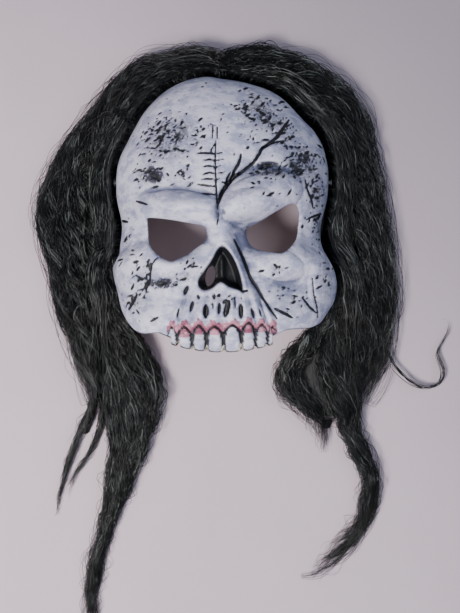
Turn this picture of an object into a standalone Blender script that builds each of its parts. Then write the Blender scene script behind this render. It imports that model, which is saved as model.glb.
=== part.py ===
"""Chinless latex skull mask with a sewn-on wig, lying face up on the surface it is put down on.

+Z is up out of the face, +Y points to the crown, +X is to the right of someone looking down at it.
Sizes are in millimetres here and are scaled to metres when a mesh is made. The datum of the
drawing is the top of the nose opening; the last step moves everything so that the origin is in the
middle of the bounding box, on the resting surface.
"""

from math import atan2, cos, exp, hypot, pi, radians, sin, sqrt, tan

import bmesh
import bpy
from mathutils import Matrix, Vector

MM = 0.001

# Latex face
WALL = 2.0  # thickness of the cast latex
SKIRT = 4.0  # height of the upright edge all round
RIM_Z = 8.0  # the latex rim stands this far above the resting surface, on the wig band
FACE_TOP = 92.0  # height of the plain dome before brows, cheeks and jaw are added
BITE_Z = 76.0  # height of the free lower edge at the front teeth
CENTRE = (0.0, 26.0)  # point from which the outline is measured, between the brows
DOME_POWER = 2.3  # 2 would be an ellipse; more is flatter in front and steeper at the sides
TOOTH_WIDTHS = (8.5, 12.5, 11.5, 14.0, 15.0, 11.5, 10.0, 8.0)
TEETH_HALF_WIDTH = sum(TOOTH_WIDTHS) / 2
TEETH_BOTTOM = -86.0  # lowest tooth tip
TEETH_RISE = 7.0  # how far the outer teeth sit above the middle ones
TOOTH_NOTCH = 6.0  # depth of the gap between two teeth

# Outline of the latex seen from the front, clockwise from the right side of the bite
OUTLINE = [
    (52, -68), (81, -64), (93, -54), (102, -41), (103, -22), (92, 3), (95, 27), (96, 57), (94, 89),
    (85, 108), (71, 123), (49, 142), (27, 151), (1, 156), (-18, 158), (-44, 150), (-66, 132),
    (-83, 105), (-94, 81), (-96, 57), (-91, 25), (-93, -1), (-99, -15), (-94, -37), (-86, -56),
    (-70, -70), (-52, -70),
]  # fmt: skip
BITE_ANGLE = 26.0  # half angle of the toothed edge about CENTRE
REST_ANGLE = 62.0  # beyond this angle from straight down the rim is level

# Sculpted forms: centre x, y, half sizes along and across, turn in degrees, height
FORMS = {
    "brow_right": (28, 38, 34, 14, 17, 13),
    "brow_left": (-36, 32, 32, 9, -4, 7),
    "socket_right": (42, 13, 22, 14, 15, -13),
    "socket_left": (-38, 7, 26, 12, -5, -12),
    "nose_bridge": (0, 12, 9, 18, 0, 7),
    "nose_rim": (0, -18, 22, 24, 0, 5),
    "nostril_left": (-9, -24, 7, 11, -18, -12),
    "nostril_right": (9, -24, 7, 11, 18, -12),
    "nose_top": (0, -9, 5, 9, 0, -8),
    "cheekbone_left": (-72, -10, 26, 12, 12, 9),
    "cheekbone_right": (76, -12, 26, 12, -12, 9),
    "hollow_left": (-56, -38, 16, 9, -10, -5),
    "hollow_right": (56, -36, 16, 9, 10, -5),
    "upper_jaw": (0, -52, 42, 20, 0, 6),
}

EYE_LEFT = [(-63, 23), (-42, 20), (-13, 18), (-13, 6), (-21, 1), (-38, -10), (-54, -4), (-62, 6)]
EYE_RIGHT = [(21, 20), (40, 29), (56, 37), (64, 34), (66, 19), (59, 2), (49, -6), (31, -2), (21, 9)]
NOSTRIL = (-9.5, -23.5, 3.8, 8.0, -14)  # centre x, y, half width, half height, turn in degrees
OPENING_Z = (30.0, 130.0)  # reach of the cutters for these holes

# Wig band, wefts and strap
BAND_Z = 22.0
BAND = (-6.2, -4.8)  # offsets from the outline, inwards negative
WEFT = (-4.2, -2.6)
WEFT_Z = (0.5, 7.4)
RIM_STEP = 4
REST_SPAN = (-26, 206)  # angles about CENTRE between which band and wefts follow the rim
SIDE_SPANS = {"right": (-24, 47.8), "crown": (48.2, 131.8), "left": (132.2, 204)}
WEFT_INSET = 1.0
STRAP_Y = 63.0
STRAP_AXIS_Z = 16.0
STRAP_WIDTH = 12.0
STRAP_THICK = 1.2
STRAP_RUN_Z = 3.0  # underside of the strap between its ends
STRAP_END_Z = 22.0  # top of the ends that the rivets hold
STRAP_BEND = 5.0  # radius of the turn from the ends into the run across
PATCH_HALF = 9.0
RIVET_R = 2.0
RIVET_CLEAR = 0.3
RIVET_HEAD_R = 4.0
RIVET_HEAD = 1.2  # thickness of a head
RIVET_STEPS = 20
SIDE_X = {"left": -96.0, "right": 96.0}  # outer face of the latex at the strap
PATCH_DEPTH = (7.4, 8.6)  # depths inwards from there: patch, end of the strap, rivet
STRAP_DEPTH = 9.0
RIVET_ENDS = (2.0, -11.8)

# Hair
PLANE = {"left": -112.0, "right": 118.0}  # upright planes where the hanging side hair begins
GAP = 0.4
ROOT_START = 2.6  # hair begins this far outside the latex
ROOT_TOP = 34.0

HAIR_DARK = (0.012, 0.016, 0.013)
PARTS = "latex_halloween_mask"
CUTTERS = "cutters"


def clear_scene():
    for ob in list(bpy.data.objects):
        bpy.data.objects.remove(ob)
    for coll in list(bpy.data.collections):
        bpy.data.collections.remove(coll)


def make_collection(name):
    coll = bpy.data.collections.new(name)
    bpy.context.scene.collection.children.link(coll)
    return coll


def material(name, colour, roughness, metallic=0.0):
    mat = bpy.data.materials.get(name) or bpy.data.materials.new(name)
    mat.use_nodes = True
    shader = mat.node_tree.nodes["Principled BSDF"]
    shader.inputs["Base Color"].default_value = (*colour, 1.0)
    shader.inputs["Roughness"].default_value = roughness
    shader.inputs["Metallic"].default_value = metallic
    return mat


def latex():
    return material("latex", (0.72, 0.70, 0.74), 0.5)


def knit():
    return material("knit", (0.03, 0.03, 0.03), 0.9)


def elastic():
    return material("elastic", (0.02, 0.02, 0.02), 0.8)


def steel():
    return material("steel", (0.55, 0.55, 0.56), 0.35, 1.0)


def thread():
    return material("weft_thread", (0.015, 0.015, 0.015), 0.85)


def hair():
    return material("hair", HAIR_DARK, 0.45)


def mesh_object(name, verts, faces, mat, coll):
    """A named object from points in millimetres."""
    mesh = bpy.data.meshes.new(name)
    mesh.from_pydata([Vector(v) * MM for v in verts], [], faces)
    mesh.materials.append(mat)
    bm = bmesh.new()
    bm.from_mesh(mesh)
    bmesh.ops.recalc_face_normals(bm, faces=bm.faces)
    bm.to_mesh(mesh)
    bm.free()
    ob = bpy.data.objects.new(name, mesh)
    coll.objects.link(ob)
    return ob


# ---------------------------------------------------------------- outline


def smooth_step(x):
    x = min(max(x, 0.0), 1.0)
    return x * x * (3 - 2 * x)


def cubic(a, b, c, d, t):
    """Catmull-Rom curve between b and c."""
    return 0.5 * (2 * b + (c - a) * t + (2 * a - 5 * b + 4 * c - d) * t * t + (3 * b - a - 3 * c + d) * t**3)


def polar(point):
    x, y = point[0] - CENTRE[0], point[1] - CENTRE[1]
    return atan2(y, x) % (2 * pi), hypot(x, y)


OUTLINE_POLAR = sorted(polar(p) for p in OUTLINE)


def bite_edge(x, notched):
    """Height on the page of the scalloped edge of the teeth; notched is the share of the gaps' depth."""
    x = max(-TEETH_HALF_WIDTH, min(x, TEETH_HALF_WIDTH))
    left = -TEETH_HALF_WIDTH
    for width in TOOTH_WIDTHS:
        if x <= left + width:
            break
        left += width
    from_middle = abs(2 * (x - left) / width - 1)
    rise = TEETH_RISE * (x / TEETH_HALF_WIDTH) ** 2
    return TEETH_BOTTOM + rise + TOOTH_NOTCH * notched * from_middle**5


def from_down(t):
    """Angle in degrees between direction t and straight down the face."""
    return abs((t * 180 / pi + 270) % 360 - 180)


def radius(t, notched=1.0):
    """Distance from CENTRE to the outline in direction t."""
    t = t % (2 * pi)
    if from_down(t) < BITE_ANGLE - 3:
        lean = t - 1.5 * pi
        x = 110.0 * tan(lean)
        return (CENTRE[1] - bite_edge(x, notched)) / cos(lean)
    ring = OUTLINE_POLAR
    n = len(ring)
    i = next((k for k in range(n) if ring[k][0] > t), 0) - 1
    near = []
    for k in range(i - 1, i + 3):
        a, r = ring[k % n]
        near.append((a + 2 * pi * round((t - a) / (2 * pi)), r))
    share = (t - near[1][0]) / (near[2][0] - near[1][0])
    return cubic(near[0][1], near[1][1], near[2][1], near[3][1], share)


def rim_point(t, offset=0.0):
    """Point on the outline in direction t, moved out along the outline's normal, and that normal."""
    step = 0.01
    ends = [(radius(a) * cos(a), radius(a) * sin(a)) for a in (t - step, t + step)]
    along = Vector((ends[1][0] - ends[0][0], ends[1][1] - ends[0][1])).normalized()
    out = Vector((along.y, -along.x))
    base = Vector((CENTRE[0] + radius(t) * cos(t), CENTRE[1] + radius(t) * sin(t)))
    return base + out * offset, out


def rim_height(t):
    lift = smooth_step((REST_ANGLE - from_down(t)) / (REST_ANGLE - BITE_ANGLE))
    return RIM_Z + (BITE_Z - RIM_Z) * lift


# ---------------------------------------------------------------- latex face


def form_height(x, y, cx, cy, along, across, turn, height):
    dx, dy = x - cx, y - cy
    c, s = cos(radians(turn)), sin(radians(turn))
    u, v = (dx * c + dy * s) / along, (dy * c - dx * s) / across
    return height * exp(-(u * u) - v * v)


def face_height(x, y, share, t):
    """Height of the latex at a point that is share of the way from CENTRE to the outline."""
    edge = rim_height(t)
    dome = edge + (FACE_TOP - edge) * sqrt(max(0.0, 1 - share**DOME_POWER))
    carved = sum(form_height(x, y, *form) for form in FORMS.values())
    return dome + carved * (1 - share**8)


def face_angles():
    """Directions of the face mesh: evenly about the head, and close together along the teeth."""
    bite = radians(BITE_ANGLE)
    fine = len(TOOTH_WIDTHS) * 5
    coarse = 60
    angles = [1.5 * pi - bite + 2 * bite * i / fine for i in range(fine)]
    angles += [1.5 * pi + bite + (2 * pi - 2 * bite) * i / coarse for i in range(coarse)]
    return angles


def make_face(coll, cutters):
    """The cast latex face: one skin with the skull's forms, eye holes and one open nostril."""
    angles = face_angles()
    rings = 15
    shares = [sin(0.5 * pi * (k + 1) / rings) ** 0.9 for k in range(rings)]
    verts = [(*CENTRE, face_height(*CENTRE, 0.0, 0.0))]
    for share in shares:
        skirt = SKIRT if share == 1 else 0
        for t in angles:
            reach = radius(t, share**30) * share
            x, y = CENTRE[0] + reach * cos(t), CENTRE[1] + reach * sin(t)
            verts.append((x, y, face_height(x, y, share, t) + skirt))
    outer_ring = verts[-len(angles) :]  # a short upright skirt keeps the rim's lower edge level
    verts += [(x, y, z - SKIRT) for x, y, z in outer_ring]
    n = len(angles)
    faces = [(0, 1 + i, 1 + (i + 1) % n) for i in range(n)]
    for k in range(rings):
        a, b = 1 + k * n, 1 + (k + 1) * n
        faces += [(a + i, b + i, b + (i + 1) % n, a + (i + 1) % n) for i in range(n)]
    face = mesh_object("face_shell", verts, faces, latex(), coll)
    if face.data.polygons[0].normal.z < 0:
        face.data.flip_normals()
    shell = face.modifiers.new("thickness", "SOLIDIFY")
    shell.thickness = WALL * MM
    shell.offset = -1
    shell.use_even_offset = False
    for cutter in cutters:
        cut(face, cutter)
    face.data.shade_smooth()
    return face


def cut(ob, cutter):
    mod = ob.modifiers.new(cutter.name, "BOOLEAN")
    mod.operation = "DIFFERENCE"
    mod.solver = "EXACT"
    mod.object = cutter


def hide_cutter(ob):
    ob.hide_render = True
    ob.display_type = "WIRE"
    return ob


def rounded_outline(points, per_side=3):
    """Closed smooth outline through the points."""
    n = len(points)
    out = []
    for i in range(n):
        a, b, c, d = (points[(i + k) % n] for k in (-1, 0, 1, 2))
        for k in range(per_side):
            t = k / per_side
            out.append(tuple(cubic(a[j], b[j], c[j], d[j], t) for j in (0, 1)))
    return out


def prism(name, outline, z0, z1, mat, coll):
    n = len(outline)
    verts = [(x, y, z) for z in (z0, z1) for x, y in outline]
    faces = [tuple(range(n)), tuple(range(n, 2 * n))]
    faces += [(i, (i + 1) % n, n + (i + 1) % n, n + i) for i in range(n)]
    return mesh_object(name, verts, faces, mat, coll)


def make_openings(coll):
    cutters = [
        prism("eye_hole_left", rounded_outline(EYE_LEFT), *OPENING_Z, latex(), coll),
        prism("eye_hole_right", rounded_outline(EYE_RIGHT), *OPENING_Z, latex(), coll),
    ]
    cx, cy, half_w, half_h, turn = NOSTRIL
    oval = []
    for i in range(16):
        a = 2 * pi * i / 16
        u, v = half_w * cos(a), half_h * sin(a)
        c, s = cos(radians(turn)), sin(radians(turn))
        oval.append((cx + u * c - v * s, cy + u * s + v * c))
    cutters.append(prism("nostril_hole", oval, *OPENING_Z, latex(), coll))
    return [hide_cutter(c) for c in cutters]


# ---------------------------------------------------------------- lofts


def loft(name, sections, mat, coll):
    """One closed body through sections with the same number of corners, capped at both ends."""
    n = len(sections[0])
    verts = [p for section in sections for p in section]
    faces = [tuple(range(n)), tuple(range(len(verts) - n, len(verts)))]
    for k in range(len(sections) - 1):
        a, b = k * n, (k + 1) * n
        faces += [(a + i, a + (i + 1) % n, b + (i + 1) % n, b + i) for i in range(n)]
    return mesh_object(name, verts, faces, mat, coll)


def rim_loft(name, span, section, mat, coll):
    """A body that follows the rim; section(t) lists (offset, z) corners.

    Every such body bends at the same directions, so that neighbours stay parallel.
    """
    sections = []
    bends = [a for a in range(-180, 360, RIM_STEP) if span[0] < a < span[1]]
    for angle in (span[0], *bends, span[1]):
        t = radians(angle)
        corners = []
        for offset, z in section(t):
            p = rim_point(t, offset)[0]
            corners.append((p.x, p.y, z))
        sections.append(corners)
    return loft(name, sections, mat, coll)


def band_section(offsets, z0, z1):
    return lambda t: [(offsets[0], z0), (offsets[1], z0), (offsets[1], z1), (offsets[0], z1)]


def mound(x0, x1, y, z0, top, z1):
    """Cross-section of a mass of hair between x0 and x1: flat below, domed above."""
    arc = []
    for i in range(5):
        s = i / 4
        arc.append((x1 + (x0 - x1) * s, y, z1 + (z0 - z1) * s + top * sin(pi * s)))
    return [(x0, y, 0.0), (x1, y, 0.0), *arc]


def hair_loft(name, stations, coll):
    """stations: y, x of the two edges, heights at the two edges, extra height in the middle."""
    return loft(name, [mound(x0, x1, y, z0, top, z1) for y, x0, x1, z0, z1, top in stations], hair(), coll)


# ---------------------------------------------------------------- wig band, wefts, strap


def make_band(coll, hole):
    section = band_section(BAND, 0.0, BAND_Z)
    band = rim_loft("wig_band", REST_SPAN, section, knit(), coll)
    cut(band, hole)
    return band


def make_wefts(coll):
    section = band_section(WEFT, *WEFT_Z)
    for side, (start, end) in SIDE_SPANS.items():
        rim_loft(f"weft_{side}", (start + WEFT_INSET, end - WEFT_INSET), section, thread(), coll)


def root_width(t):
    """How far the fixed hair reaches out from the rim in direction t."""
    toward_right = cos(t)
    return 27.0 + 14.0 * smooth_step(toward_right) * (1 if sin(t) > 0 else 0)


def root_section(t):
    p, out = rim_point(t)
    width = root_width(t)
    if out.x < -0.01:
        width = min(width, (p.x - (PLANE["left"] + GAP)) / -out.x)
    if out.x > 0.01:
        width = min(width, ((PLANE["right"] - GAP) - p.x) / out.x)
    side_on = abs(out.x) ** 2
    outer_z = 8.0 + 14.0 * side_on
    mid = 0.5 * (ROOT_START + width)
    middle_z = 0.5 * (ROOT_TOP + outer_z) + 4
    return [(ROOT_START, 0.0), (width, 0.0), (width, outer_z), (mid, middle_z), (ROOT_START, ROOT_TOP)]


def make_roots(coll):
    for side, span in SIDE_SPANS.items():
        rim_loft(f"hair_roots_{side}", span, root_section, hair(), coll)


def box(name, low, high, mat, coll):
    x0, y0, z0 = low
    x1, y1, z1 = high
    return prism(name, [(x0, y0), (x1, y0), (x1, y1), (x0, y1)], z0, z1, mat, coll)


def make_rivet_hole(coll):
    bpy.ops.mesh.primitive_cylinder_add(
        vertices=RIVET_STEPS,
        radius=(RIVET_R + RIVET_CLEAR) * MM,
        depth=2.5 * SIDE_X["right"] * MM,
        location=(0, STRAP_Y * MM, STRAP_AXIS_Z * MM),
        rotation=(0, pi / 2, 0),
    )
    hole = bpy.context.object
    hole.name = "rivet_hole"
    for c in list(hole.users_collection):
        c.objects.unlink(hole)
    coll.objects.link(hole)
    return hide_cutter(hole)


def make_rivet(side, coll):
    """Turned rivet with a head at each end, its axis along X."""
    sign = -1 if side == "left" else 1
    outer, inner = RIVET_ENDS
    under_out, under_in = outer - RIVET_HEAD, inner + RIVET_HEAD
    profile = [
        (0, outer), (RIVET_HEAD_R - 1, outer), (RIVET_HEAD_R, outer - 0.6), (RIVET_HEAD_R, under_out),
        (RIVET_R, under_out), (RIVET_R, under_in), (RIVET_HEAD_R, under_in),
        (RIVET_HEAD_R, inner + 0.6), (RIVET_HEAD_R - 1, inner), (0, inner),
    ]  # fmt: skip
    mesh = bpy.data.meshes.new(f"rivet_{side}")
    edges = [(i, i + 1) for i in range(len(profile) - 1)]
    mesh.from_pydata([(r * MM, 0, z * MM) for r, z in profile], edges, [])
    mesh.materials.append(steel())
    ob = bpy.data.objects.new(f"rivet_{side}", mesh)
    coll.objects.link(ob)
    turn = ob.modifiers.new("turn", "SCREW")
    turn.steps = turn.render_steps = RIVET_STEPS
    turn.use_merge_vertices = True
    turn.merge_threshold = 0.00001
    ob.rotation_euler = (0, sign * pi / 2, 0)
    ob.location = (SIDE_X[side] * MM, STRAP_Y * MM, STRAP_AXIS_Z * MM)
    return ob


def make_patch(side, coll, hole):
    sign = -1 if side == "left" else 1
    x0, x1 = sorted(SIDE_X[side] - sign * depth for depth in PATCH_DEPTH)
    low = (x0, STRAP_Y - PATCH_HALF, STRAP_AXIS_Z - PATCH_HALF)
    high = (x1, STRAP_Y + PATCH_HALF, STRAP_AXIS_Z + PATCH_HALF)
    patch = box(f"strap_patch_{side}", low, high, latex(), coll)
    cut(patch, hole)
    return patch


def make_strap(coll, hole):
    """Flat elastic that hangs from the two rivets and runs straight across behind the face."""
    sections = []
    x_end = SIDE_X["right"] - STRAP_DEPTH
    half = STRAP_WIDTH / 2
    turn_x, turn_z = -x_end + STRAP_BEND, STRAP_RUN_Z + STRAP_BEND
    path = [(-x_end, STRAP_END_Z), (-x_end, turn_z)]
    for i in range(1, 4):
        a = pi + i * pi / 8
        path.append((turn_x + STRAP_BEND * cos(a), turn_z + STRAP_BEND * sin(a)))
    path.append((turn_x, STRAP_RUN_Z))
    path += [(-x, z) for x, z in reversed(path)]
    for i, (x, z) in enumerate(path):
        a = path[max(i - 1, 0)]
        b = path[min(i + 1, len(path) - 1)]
        d = Vector((b[0] - a[0], b[1] - a[1])).normalized()
        up = Vector((-d.y, d.x)) * STRAP_THICK
        sections.append(
            [
                (x, STRAP_Y - half, z),
                (x, STRAP_Y + half, z),
                (x + up.x, STRAP_Y + half, z + up.y),
                (x + up.x, STRAP_Y - half, z + up.y),
            ]
        )
    strap = loft("strap", sections, elastic(), coll)
    cut(strap, hole)
    return strap


# ---------------------------------------------------------------- free hair


def make_left_hair(coll):
    inner = PLANE["left"] - GAP
    edge = [(110, -121), (95, -135), (78, -151), (62, -164), (35, -165), (3, -160), (-33, -151),
            (-70, -141), (-104, -131), (-131, -123)]  # fmt: skip
    hair_loft("hair_left", [(y, x, inner, 5, 20, 3) for y, x in edge], coll)
    under = [(-21, -101), (-37, -98), (-52, -92), (-64, -83), (-80, -68)]
    side = PLANE["left"] + GAP
    hair_loft("hair_left_under", [(y, side, x, 20, 12, 2) for y, x in under], coll)
    lock = [(-84.4, -110.5, -67), (-106, -108, -54), (-134, -104, -57), (-170, -103, -67),
            (-200, -104, -78), (-230, -106, -90), (-261, -113, -101), (-289, -120, -109),
            (-320, -124, -115), (-350, -124, -120)]  # fmt: skip
    hair_loft("lock_left_long", taper(lock, 16, 4), coll)
    short = [(-133.5, -123.5, -113), (-158, -131, -119), (-182, -141, -129), (-204, -147.5, -139),
             (-228, -152, -148)]  # fmt: skip
    hair_loft("lock_left_short", taper(short, 11, 3), coll)


def taper(edges, start, end):
    """Stations of a lock whose height falls from start to end along it."""
    n = len(edges) - 1
    stations = []
    for i, (y, x0, x1) in enumerate(edges):
        h = start + (end - start) * i / n
        stations.append((y, x0, x1, 0.45 * h, 0.45 * h, 0.55 * h))
    return stations


def make_right_hair(coll):
    inner = PLANE["right"] + GAP
    edge = [(141, 123.5), (128, 129), (112, 132), (95, 134), (67, 141), (35, 146), (-6, 151),
            (-42, 152.5), (-63, 151.5), (-80, 148.5), (-97, 140), (-109, 132)]  # fmt: skip
    hair_loft("hair_right", [(y, inner, x, 20, 5, 3) for y, x in edge], coll)
    under = [(-24, 107), (-41, 106), (-55, 98), (-66, 84), (-80, 72)]
    side = PLANE["right"] - GAP
    hair_loft("hair_right_under", [(y, x, side, 12, 20, 2) for y, x in under], coll)
    fall = [(-84.4, 66, 115), (-102, 53, 112), (-122, 52, 117), (-136, 74, 121), (-150, 88, 118)]
    hair_loft("hair_right_fall", taper(fall, 16, 11), coll)
    tuft = [(-150.4, 88, 102), (-162, 90, 99), (-176, 92, 94)]
    hair_loft("lock_right_tuft", taper(tuft, 10, 3), coll)
    lock = [(-150.4, 103, 118), (-163, 106, 124), (-176, 114, 132), (-203, 124, 140),
            (-233, 122, 136), (-252, 112, 129), (-267, 101, 116), (-282, 90, 101),
            (-291, 79, 84)]  # fmt: skip
    hair_loft("lock_right_long", taper(lock, 11, 3), coll)
    make_curl(coll)


def make_curl(coll):
    """A thin stray lock that loops out from the right side hair."""
    route = [(151, -93), (158, -104.5), (172, -117.5), (184, -122), (196, -119), (200.5, -108),
             (195, -91), (200, -81), (207, -71), (205, -61)]  # fmt: skip
    radii = [1.8, 2.0, 2.0, 1.8, 1.6, 1.5, 1.4, 1.3, 1.1, 0.8]
    curve = bpy.data.curves.new("hair_curl_right", "CURVE")
    curve.dimensions = "3D"
    curve.bevel_depth = MM
    curve.bevel_resolution = 2
    curve.use_fill_caps = True
    curve.materials.append(hair())
    spline = curve.splines.new("POLY")
    fine = []
    for i in range(len(route) - 1):
        a, b = route[max(i - 1, 0)], route[i]
        c, d = route[i + 1], route[min(i + 2, len(route) - 1)]
        for k in range(3):
            t = k / 3
            fine.append((*(cubic(a[j], b[j], c[j], d[j], t) for j in (0, 1)), radii[i]))
    fine.append((*route[-1], radii[-1]))
    spline.points.add(len(fine) - 1)
    for point, (x, y, r) in zip(spline.points, fine, strict=True):
        point.co = (x * MM, y * MM, 2.4 * MM, 1)
        point.radius = r
    coll.objects.link(bpy.data.objects.new("hair_curl_right", curve))


def centre_on_origin(collections, parts):
    """Moves everything so that the origin is under the middle of the whole object's box."""
    bpy.context.view_layer.update()
    graph = bpy.context.evaluated_depsgraph_get()
    corners = []
    for ob in parts.objects:
        done = ob.evaluated_get(graph)
        mesh = done.to_mesh()
        corners += [ob.matrix_world @ v.co for v in mesh.vertices]
        done.to_mesh_clear()
    low = [min(c[i] for c in corners) for i in range(3)]
    high = [max(c[i] for c in corners) for i in range(3)]
    shift = Vector((-(low[0] + high[0]) / 2, -(low[1] + high[1]) / 2, -low[2]))
    for coll in collections:
        for ob in coll.objects:
            ob.matrix_world = Matrix.Translation(shift) @ ob.matrix_world
    print("shift of the datum in mm", [round(c / MM, 2) for c in shift])


def main():
    clear_scene()
    parts = make_collection(PARTS)
    cutters = make_collection(CUTTERS)
    hole = make_rivet_hole(cutters)
    make_face(parts, [*make_openings(cutters), hole])
    make_band(parts, hole)
    make_wefts(parts)
    make_roots(parts)
    for side in SIDE_X:
        make_patch(side, parts, hole)
        make_rivet(side, parts)
    make_strap(parts, hole)
    make_left_hair(parts)
    make_right_hair(parts)
    centre_on_origin((parts, cutters), parts)


main()
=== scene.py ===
"""Looks of the latex skull mask: a finely sculpted and painted face, long wavy hair, strap and band."""

from math import atan2, cos, hypot, pi, radians, sin, tan

import bmesh
import bpy
import numpy as np
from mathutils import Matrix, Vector


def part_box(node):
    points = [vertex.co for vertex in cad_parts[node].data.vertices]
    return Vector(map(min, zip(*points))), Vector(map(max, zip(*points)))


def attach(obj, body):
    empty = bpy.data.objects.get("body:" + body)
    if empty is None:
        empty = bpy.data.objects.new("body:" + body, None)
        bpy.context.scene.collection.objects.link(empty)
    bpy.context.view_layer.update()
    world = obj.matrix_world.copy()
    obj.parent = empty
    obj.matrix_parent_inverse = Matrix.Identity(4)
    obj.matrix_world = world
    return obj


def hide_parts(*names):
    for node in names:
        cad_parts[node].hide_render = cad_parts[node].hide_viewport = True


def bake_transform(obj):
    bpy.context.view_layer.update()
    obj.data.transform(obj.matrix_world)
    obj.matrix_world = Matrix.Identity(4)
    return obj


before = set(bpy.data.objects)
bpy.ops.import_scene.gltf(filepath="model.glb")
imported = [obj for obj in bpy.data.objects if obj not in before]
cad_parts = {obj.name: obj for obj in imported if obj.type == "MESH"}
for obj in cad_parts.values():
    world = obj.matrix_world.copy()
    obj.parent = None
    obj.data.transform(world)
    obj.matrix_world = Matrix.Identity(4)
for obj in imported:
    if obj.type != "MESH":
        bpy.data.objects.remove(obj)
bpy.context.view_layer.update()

MM = 0.001

# The drawing's datum is the top of the nose opening, in millimetres; the strap lies across it
STRAP_Y = 63.0
strap_low, strap_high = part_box("strap")
DATUM = np.array([(strap_low.x + strap_high.x) / 2, (strap_low.y + strap_high.y) / 2 - STRAP_Y * MM, 0.0])


def metres(points):
    return np.asarray(points, float) * MM + DATUM


# ---- camera, floor, light

CAMERA_HEIGHT = 0.77
VIEW_HEIGHT = 0.5627  # length of floor that the picture's long side covers
CAMERA_OVER = (6.5, -48.2)
SENSOR = 36
FLOOR_SIZE, FLOOR_Z = 12, -0.0004  # just under the hair
SKY_COLOUR, SKY_STRENGTH = (0.74, 0.79, 0.98, 1), 0.30
# Lights: place, aim, size, power and colour
KEY = ((-0.50, -0.32, 1.0), (0, 0.0, 0.03), 0.34, 17.0, (1.0, 0.95, 0.945))
FILL = ((0.9, 0.3, 1.1), (0, 0, 0), 1.2, 5.6, (0.76, 0.85, 1.0))


def make_camera():
    data = bpy.data.cameras.new("camera")
    data.sensor_width = SENSOR
    data.lens = SENSOR * CAMERA_HEIGHT / VIEW_HEIGHT
    camera = bpy.data.objects.new("camera", data)
    x, y, _ = metres((*CAMERA_OVER, 0))
    camera.location = (x, y, CAMERA_HEIGHT)
    bpy.context.scene.collection.objects.link(camera)
    bpy.context.scene.camera = camera


def area_light(name, place, aim, size, power, colour):
    data = bpy.data.lights.new(name, "AREA")
    data.shape = "DISK"
    data.size = size
    data.energy = power
    data.color = colour
    light = bpy.data.objects.new(name, data)
    light.location = place
    light.rotation_euler = (Vector(aim) - Vector(place)).to_track_quat("-Z", "Y").to_euler()
    bpy.context.scene.collection.objects.link(light)


def make_stage():
    bpy.ops.mesh.primitive_plane_add(size=FLOOR_SIZE, location=(0, 0, FLOOR_Z))
    floor = bpy.context.object
    floor.name = "floor"
    floor.data.materials.append(material("floor", floor_look))
    world = bpy.data.worlds.new("soft studio")
    world.use_nodes = True
    sky = world.node_tree.nodes["Background"]
    sky.inputs[0].default_value = SKY_COLOUR
    sky.inputs[1].default_value = SKY_STRENGTH
    bpy.context.scene.world = world
    area_light("key", *KEY)
    area_light("fill", *FILL)


# ---- materials

SOCKETS = {"colour": "Base Color", "roughness": "Roughness", "normal": "Normal", "metallic": "Metallic",
           "sheen": "Sheen Weight", "specular": "Specular IOR Level",
           "subsurface": "Subsurface Weight"}


class Nodes:
    """Short way to write a material's node tree."""

    def __init__(self, tree):
        self.tree = tree
        self.principled = tree.nodes["Principled BSDF"]

    def add(self, kind, inputs=None, **settings):
        node = self.tree.nodes.new(kind)
        for key, value in settings.items():
            setattr(node, key, value)
        for key, value in (inputs or {}).items():
            self.put(node.inputs[key], value)
        return node

    def put(self, socket, value):
        if isinstance(value, bpy.types.NodeSocket):
            self.tree.links.new(value, socket)
        else:
            socket.default_value = value

    def attribute(self, name):
        return self.add("ShaderNodeAttribute", attribute_name=name).outputs["Fac"]

    def position(self):
        return self.add("ShaderNodeTexCoord").outputs["Object"]

    def scaled(self, vector, scale):
        return self.add("ShaderNodeMapping", {"Vector": vector, "Scale": scale}).outputs[0]

    def noise(self, vector, scale, detail=3.0, rough=0.5):
        inputs = {"Vector": vector, "Scale": scale, "Detail": detail, "Roughness": rough}
        return self.add("ShaderNodeTexNoise", inputs).outputs["Fac"]

    def cells(self, vector, scale):
        return self.add("ShaderNodeTexVoronoi", {"Vector": vector, "Scale": scale}).outputs["Distance"]

    def rows(self, vector, scale, bend):
        inputs = {"Vector": vector, "Scale": scale, "Distortion": bend}
        return self.add("ShaderNodeTexWave", inputs).outputs["Fac"]

    def math(self, operation, a, b):
        return self.add("ShaderNodeMath", {0: a, 1: b}, operation=operation).outputs[0]

    def plus(self, a, b):
        return self.math("ADD", a, b)

    def times(self, a, b):
        return self.math("MULTIPLY", a, b)

    def step(self, value, low, high, start=0.0, end=1.0):
        inputs = {"Value": value, 1: low, 2: high, 3: start, 4: end}
        return self.add("ShaderNodeMapRange", inputs, interpolation_type="SMOOTHSTEP").outputs[0]

    def mix(self, factor, a, b):
        return self.add("ShaderNodeMix", {0: factor, 6: a, 7: b}, data_type="RGBA").outputs[2]

    def bump(self, height, strength, distance):
        inputs = {"Height": height, "Strength": strength, "Distance": distance}
        return self.add("ShaderNodeBump", inputs).outputs[0]

    def set(self, **values):
        for key, value in values.items():
            self.put(self.principled.inputs[SOCKETS[key]], value)


def material(name, look):
    mat = bpy.data.materials.new(name)
    mat.use_nodes = True
    look(Nodes(mat.node_tree))
    return mat


def rgb(r, g, b):
    return (r, g, b, 1.0)


def floor_look(n):
    """Pale, with painted shade dimming it towards the far right corner, away from the key light."""
    place = n.position()
    pale = n.mix(n.noise(place, 9.0, 4.0), rgb(0.60, 0.50, 0.555), rgb(0.69, 0.585, 0.64))
    inputs = {0: place, 1: (0.75, 0.62, 0.0)}
    corner = n.add("ShaderNodeVectorMath", inputs, operation="DOT_PRODUCT").outputs["Value"]
    painted_falloff = n.step(corner, -0.05, 0.36, 0, 0.62)
    n.set(colour=n.mix(painted_falloff, pale, rgb(0.26, 0.225, 0.26)), roughness=0.95)


# Colours of the face: paint, wash, ink and gums, and a dusky blue that is painted shade for its hollows
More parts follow.
